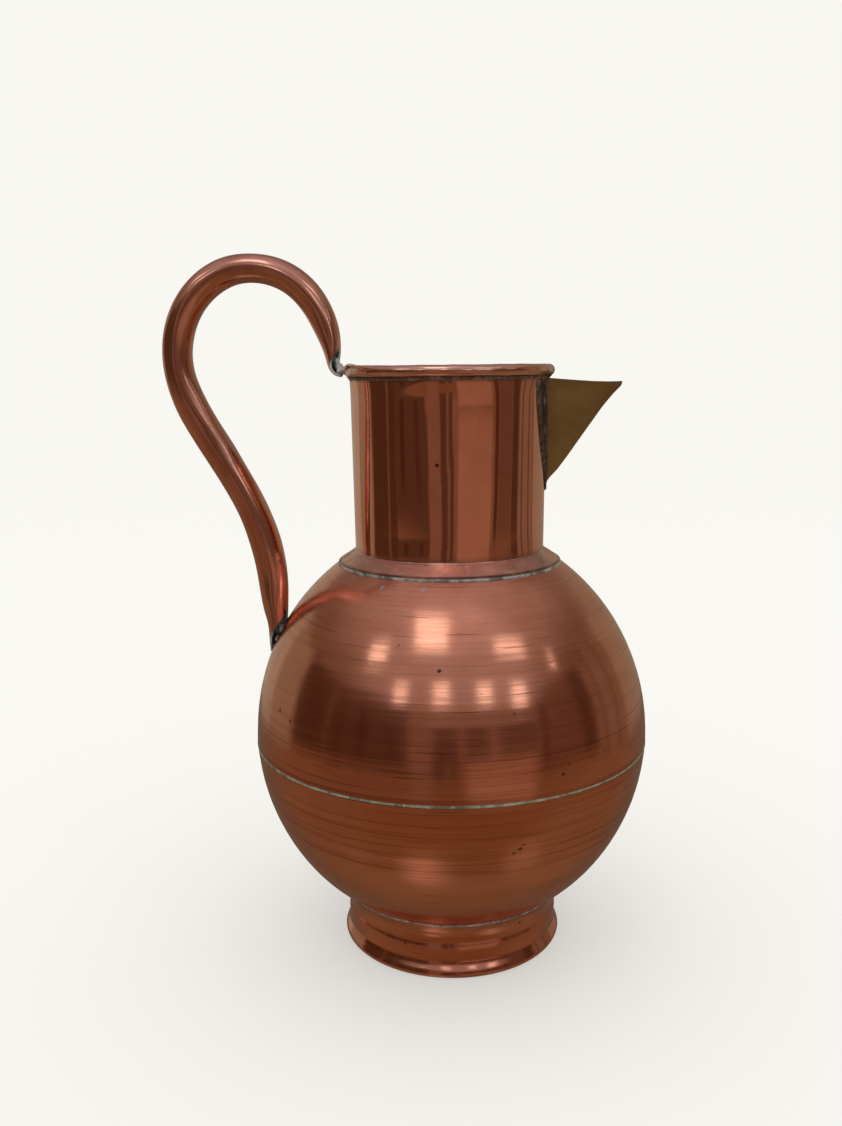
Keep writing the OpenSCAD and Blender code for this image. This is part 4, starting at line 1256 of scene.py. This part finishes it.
# ------------------------------------------------------------------ floor, room and lights
def floor():
    bm = bmesh.new()
    bmesh.ops.create_grid(bm, x_segments=24, y_segments=24, size=6.0)
    me = bpy.data.meshes.new("studio_floor")
    bm.to_mesh(me)
    bm.free()
    ob = bpy.data.objects.new("studio_floor", me)
    bpy.context.scene.collection.objects.link(ob)
    m = Mat("pale_floor")
    n = m.noise(m.co, 3.0, 3.0, 0.5)
    p = m.nt.nodes.new("ShaderNodeBsdfDiffuse")
    m.put(p.inputs["Color"], m.mix(n, (0.855, 0.85, 0.825), (0.865, 0.86, 0.835)))
    e = m.nt.nodes.new("ShaderNodeEmission")
    e.inputs[0].default_value = (0.94, 0.93, 0.885, 1)
    mx = m.nt.nodes.new("ShaderNodeMixShader")
    mx.inputs[0].default_value = 0.4
    m.nt.links.new(p.outputs[0], mx.inputs[1])
    m.nt.links.new(e.outputs[0], mx.inputs[2])
    m.nt.links.new(mx.outputs[0], m.out.inputs[0])
    me.materials.append(m.m)
    ob.visible_glossy = False
    return ob


floor()

world = bpy.data.worlds.new("room")
bpy.context.scene.world = world
world.use_nodes = True
nt = world.node_tree
nt.nodes.clear()
W = Mat.__new__(Mat)
W.nt = nt
tc = nt.nodes.new("ShaderNodeTexCoord")
W.co = tc.outputs["Generated"]
wx, wy, wz = W.xyz(W.co)
el = W.math("ARCSINE", wz)
az = W.math("ARCTAN2", wx, W.mul(wy, -1.0))          # 0 towards the viewer's side, + to the right


def ramp(fac, stops, interp="LINEAR"):
    n = nt.nodes.new("ShaderNodeValToRGB")
    n.color_ramp.interpolation = interp
    e = n.color_ramp.elements
    while len(e) > 1:
        e.remove(e[-1])
    e[0].position, e[0].color = stops[0][0], (*stops[0][1], 1)
    for p, c in stops[1:]:
        k = e.new(p)
        k.color = (*c, 1)
    W.put(n.inputs[0], fac)
    return n.outputs[0]


elp = W.range(el, -PI / 2, PI / 2, 0.0, 1.0, smooth=False)
D = lambda d: (d + 90.0) / 180.0
front = ramp(elp, [
    (D(-90), (0.22, 0.13, 0.075)), (D(-70), (0.24, 0.14, 0.09)), (D(-60), (0.19, 0.098, 0.045)), (D(-40), (0.185, 0.085, 0.034)),
    (D(-28), (0.18, 0.085, 0.042)), (D(-18), (0.16, 0.075, 0.04)), (D(-2), (0.21, 0.11, 0.07)), (D(14), (0.22, 0.125, 0.085)),
    (D(19), (0.20, 0.12, 0.09)), (D(26), (0.36, 0.26, 0.25)), (D(46), (0.37, 0.28, 0.28)), (D(56), (0.50, 0.39, 0.40)),
    (D(72), (0.58, 0.45, 0.47)), (D(86), (0.45, 0.33, 0.34))])
side = ramp(elp, [
    (D(-90), (0.22, 0.13, 0.075)), (D(-45), (0.22, 0.125, 0.07)), (D(-15), (0.20, 0.105, 0.06)), (D(12), (0.14, 0.07, 0.042)),
    (D(30), (0.19, 0.12, 0.09)), (D(45), (0.33, 0.24, 0.22)), (D(65), (0.42, 0.31, 0.31)), (D(86), (0.45, 0.33, 0.34))])
back = ramp(elp, [
    (D(-90), (0.18, 0.11, 0.065)), (D(-60), (0.16, 0.10, 0.065)), (D(-40), (0.15, 0.10, 0.07)), (D(-15), (0.16, 0.115, 0.085)),
    (D(5), (0.24, 0.19, 0.15)), (D(20), (0.24, 0.19, 0.16)), (D(45), (0.22, 0.15, 0.13)), (D(86), (0.45, 0.33, 0.34))])
ca = W.math("COSINE", az)
col = W.mix(W.range(ca, 0.15, 0.85), side, front)
col = W.mix(W.range(ca, -0.35, -0.85), col, back)
# upright shapes of a room near eye level: azimuths, elevations, colour
azd = W.mul(az, 180.0 / PI)
eld = W.mul(el, 180.0 / PI)
SHAPES = [
    (-62, -24, -10, 24, (0.085, 0.044, 0.026)), (-55, -49, -8, 15, (0.06, 0.026, 0.014)), (-36, -31, -8, 10, (0.07, 0.03, 0.018)),
    (-22, -12, -30, 24, (0.19, 0.105, 0.075)), (-10, 4, -14, 13, (0.085, 0.042, 0.028)), (-3, 0, -14, -2, (0.18, 0.095, 0.06)),
    (9, 48, -26, -3, (0.29, 0.16, 0.11)), (8, 50, -3, 14, (0.10, 0.052, 0.036)), (22, 28, -2, 12, (0.20, 0.11, 0.08)),
    (52, 57, -11, 20, (0.07, 0.03, 0.02)), (58, 78, -11, 24, (0.125, 0.064, 0.042)), (79, 90, -11, 24, (0.075, 0.036, 0.022)),
    (92, 118, -12, 22, (0.21, 0.14, 0.10)), (97, 99, -14, 26, (0.08, 0.036, 0.02)), (110, 112, -14, 22, (0.09, 0.042, 0.024)),
    (121, 185, -14, 20, (0.28, 0.22, 0.16)),
    (-101, -62, -11, 22, (0.072, 0.034, 0.018)), (-76, -73, -11, 18, (0.15, 0.08, 0.05)), (-128, -103, -14, 20, (0.27, 0.21, 0.155)),
    (-185, -129, -14, 20, (0.38, 0.33, 0.26))]
for (a0, a1, e0, e1, c) in SHAPES:
    s_ = 1.0
    fa = W.mul(W.range(azd, a0 - s_, a0 + s_), W.range(azd, a1 - s_, a1 + s_, 1.0, 0.0))
    fe = W.mul(W.range(eld, e0 - s_, e0 + s_), W.range(eld, e1 - s_, e1 + s_, 1.0, 0.0))
    col = W.mix(W.mul(fa, fe), col, c)

for (d, rad, c) in (((-0.19, -0.33, -0.92), 0.24, (0.62, 0.40, 0.30)), ((0.46, -0.26, -0.85), 0.22, (0.40, 0.26, 0.19))):
    glow = W.range(W.dist(W.co, d), 0.02, rad, 1.0, 0.0)
    col = W.mix(glow, col, c)

lp = nt.nodes.new("ShaderNodeLightPath")
bg_room = nt.nodes.new("ShaderNodeBackground")
W.put(bg_room.inputs[0], col)
bg_soft = nt.nodes.new("ShaderNodeBackground")
bg_soft.inputs[0].default_value = (1.0, 0.995, 0.975, 1)
bg_soft.inputs[1].default_value = 1.09
bg_cam = nt.nodes.new("ShaderNodeBackground")
bg_cam.inputs[0].default_value = (0.94, 0.93, 0.885, 1)
mx1 = nt.nodes.new("ShaderNodeMixShader")
nt.links.new(lp.outputs["Is Diffuse Ray"], mx1.inputs[0])
nt.links.new(bg_room.outputs[0], mx1.inputs[1])
nt.links.new(bg_soft.outputs[0], mx1.inputs[2])
mx2 = nt.nodes.new("ShaderNodeMixShader")
nt.links.new(lp.outputs["Is Camera Ray"], mx2.inputs[0])
nt.links.new(mx1.outputs[0], mx2.inputs[1])
nt.links.new(bg_cam.outputs[0], mx2.inputs[2])
wo = nt.nodes.new("ShaderNodeOutputWorld")
nt.links.new(mx2.outputs[0], wo.inputs[0])
world.cycles.sampling_method = "NONE"


def lamp(name, loc, w, h, L, wdir, hdir, color=(1.0, 0.98, 0.96)):
    """A flat soft box: centre, size and edge directions, radiance L."""
    la = bpy.data.lights.new(name, "AREA")
    la.shape = "RECTANGLE"
    la.size, la.size_y = w, h
    la.energy = L * math.pi * w * h
    la.color = color
    ob = bpy.data.objects.new(name, la)
    X = Vector(wdir).normalized()
    Y = Vector(hdir)
    Y = (Y - X * Y.dot(X)).normalized()
    Zv = X.cross(Y)
    to = Vector((0, 0, 0.2)) - Vector(loc)
    if Zv.dot(to) > 0:               # a lamp shines along its -Z
        X = -X
        Zv = X.cross(Y)
    ob.matrix_world = Matrix.Translation(loc) @ Matrix((X, Y, Zv)).transposed().to_4x4()
    bpy.context.scene.collection.objects.link(ob)
    ob.visible_camera = False
    return ob


lamp("box_ceiling", (-0.41, -1.10, 2.39), 0.76, 0.80, 1.15, (0.98, -0.16, 0.1), (0.02, 0.9, 0.44))
lamp("box_left", (-1.60, -0.99, 1.92), 0.46, 0.40, 1.1, (0.72, -0.61, 0.32), (0.09, 0.84, 0.54))
lamp("box_right", (1.33, -1.08, 2.07), 0.70, 0.34, 1.1, (0.81, 0.52, -0.28), (-0.07, 0.85, 0.52))
lamp("box_far_right", (2.11, -0.57, 1.55), 0.14, 0.34, 1.1, (0.47, 0.78, -0.42), (-0.14, 0.84, 0.53))
lamp("box_row_1", (-1.17, -1.95, 1.42), 0.34, 0.38, 1.05, (0.89, -0.43, 0.17), (0.02, 0.54, 0.84))
lamp("box_row_2", (-0.23, -2.22, 1.49), 0.38, 0.42, 1.1, (1.0, -0.07, 0.05), (0.0, 0.52, 0.85))
lamp("box_row_3", (0.85, -2.09, 1.45), 0.36, 0.40, 1.1, (0.94, 0.3, -0.14), (-0.01, 0.53, 0.85))
lamp("box_row_4", (1.59, -1.72, 1.26), 0.34, 0.46, 1.1, (0.78, 0.58, -0.23), (-0.02, 0.53, 0.85))

# ------------------------------------------------------------------ camera
psi, p, r = -0.0273, 0.1819, 0.0117
Xh = Vector((math.cos(psi), -math.sin(psi), 0))
Yh = Vector((math.sin(psi), math.cos(psi), 0))
Zu = Vector((0, 0, 1))
fwd = Yh * math.cos(p) - Zu * math.sin(p)
U = Yh * math.sin(p) + Zu * math.cos(p)
right = Xh * math.cos(r) - U * math.sin(r)
upv = Xh * math.sin(r) + U * math.cos(r)
cam = bpy.data.cameras.new("camera")
cam.sensor_width = 36.0
cam.sensor_fit = "AUTO"
cam.lens = 33.77
cam.clip_start = 0.02
co = bpy.data.objects.new("camera", cam)
co.matrix_world = Matrix.Translation((0, -0.6887, 0.3835)) @ Matrix((right, upv, -fwd)).transposed().to_4x4()
bpy.context.scene.collection.objects.link(co)
bpy.context.scene.camera = co
bpy.context.scene.view_settings.view_transform = "Standard"
bpy.context.scene.view_settings.look = "None"
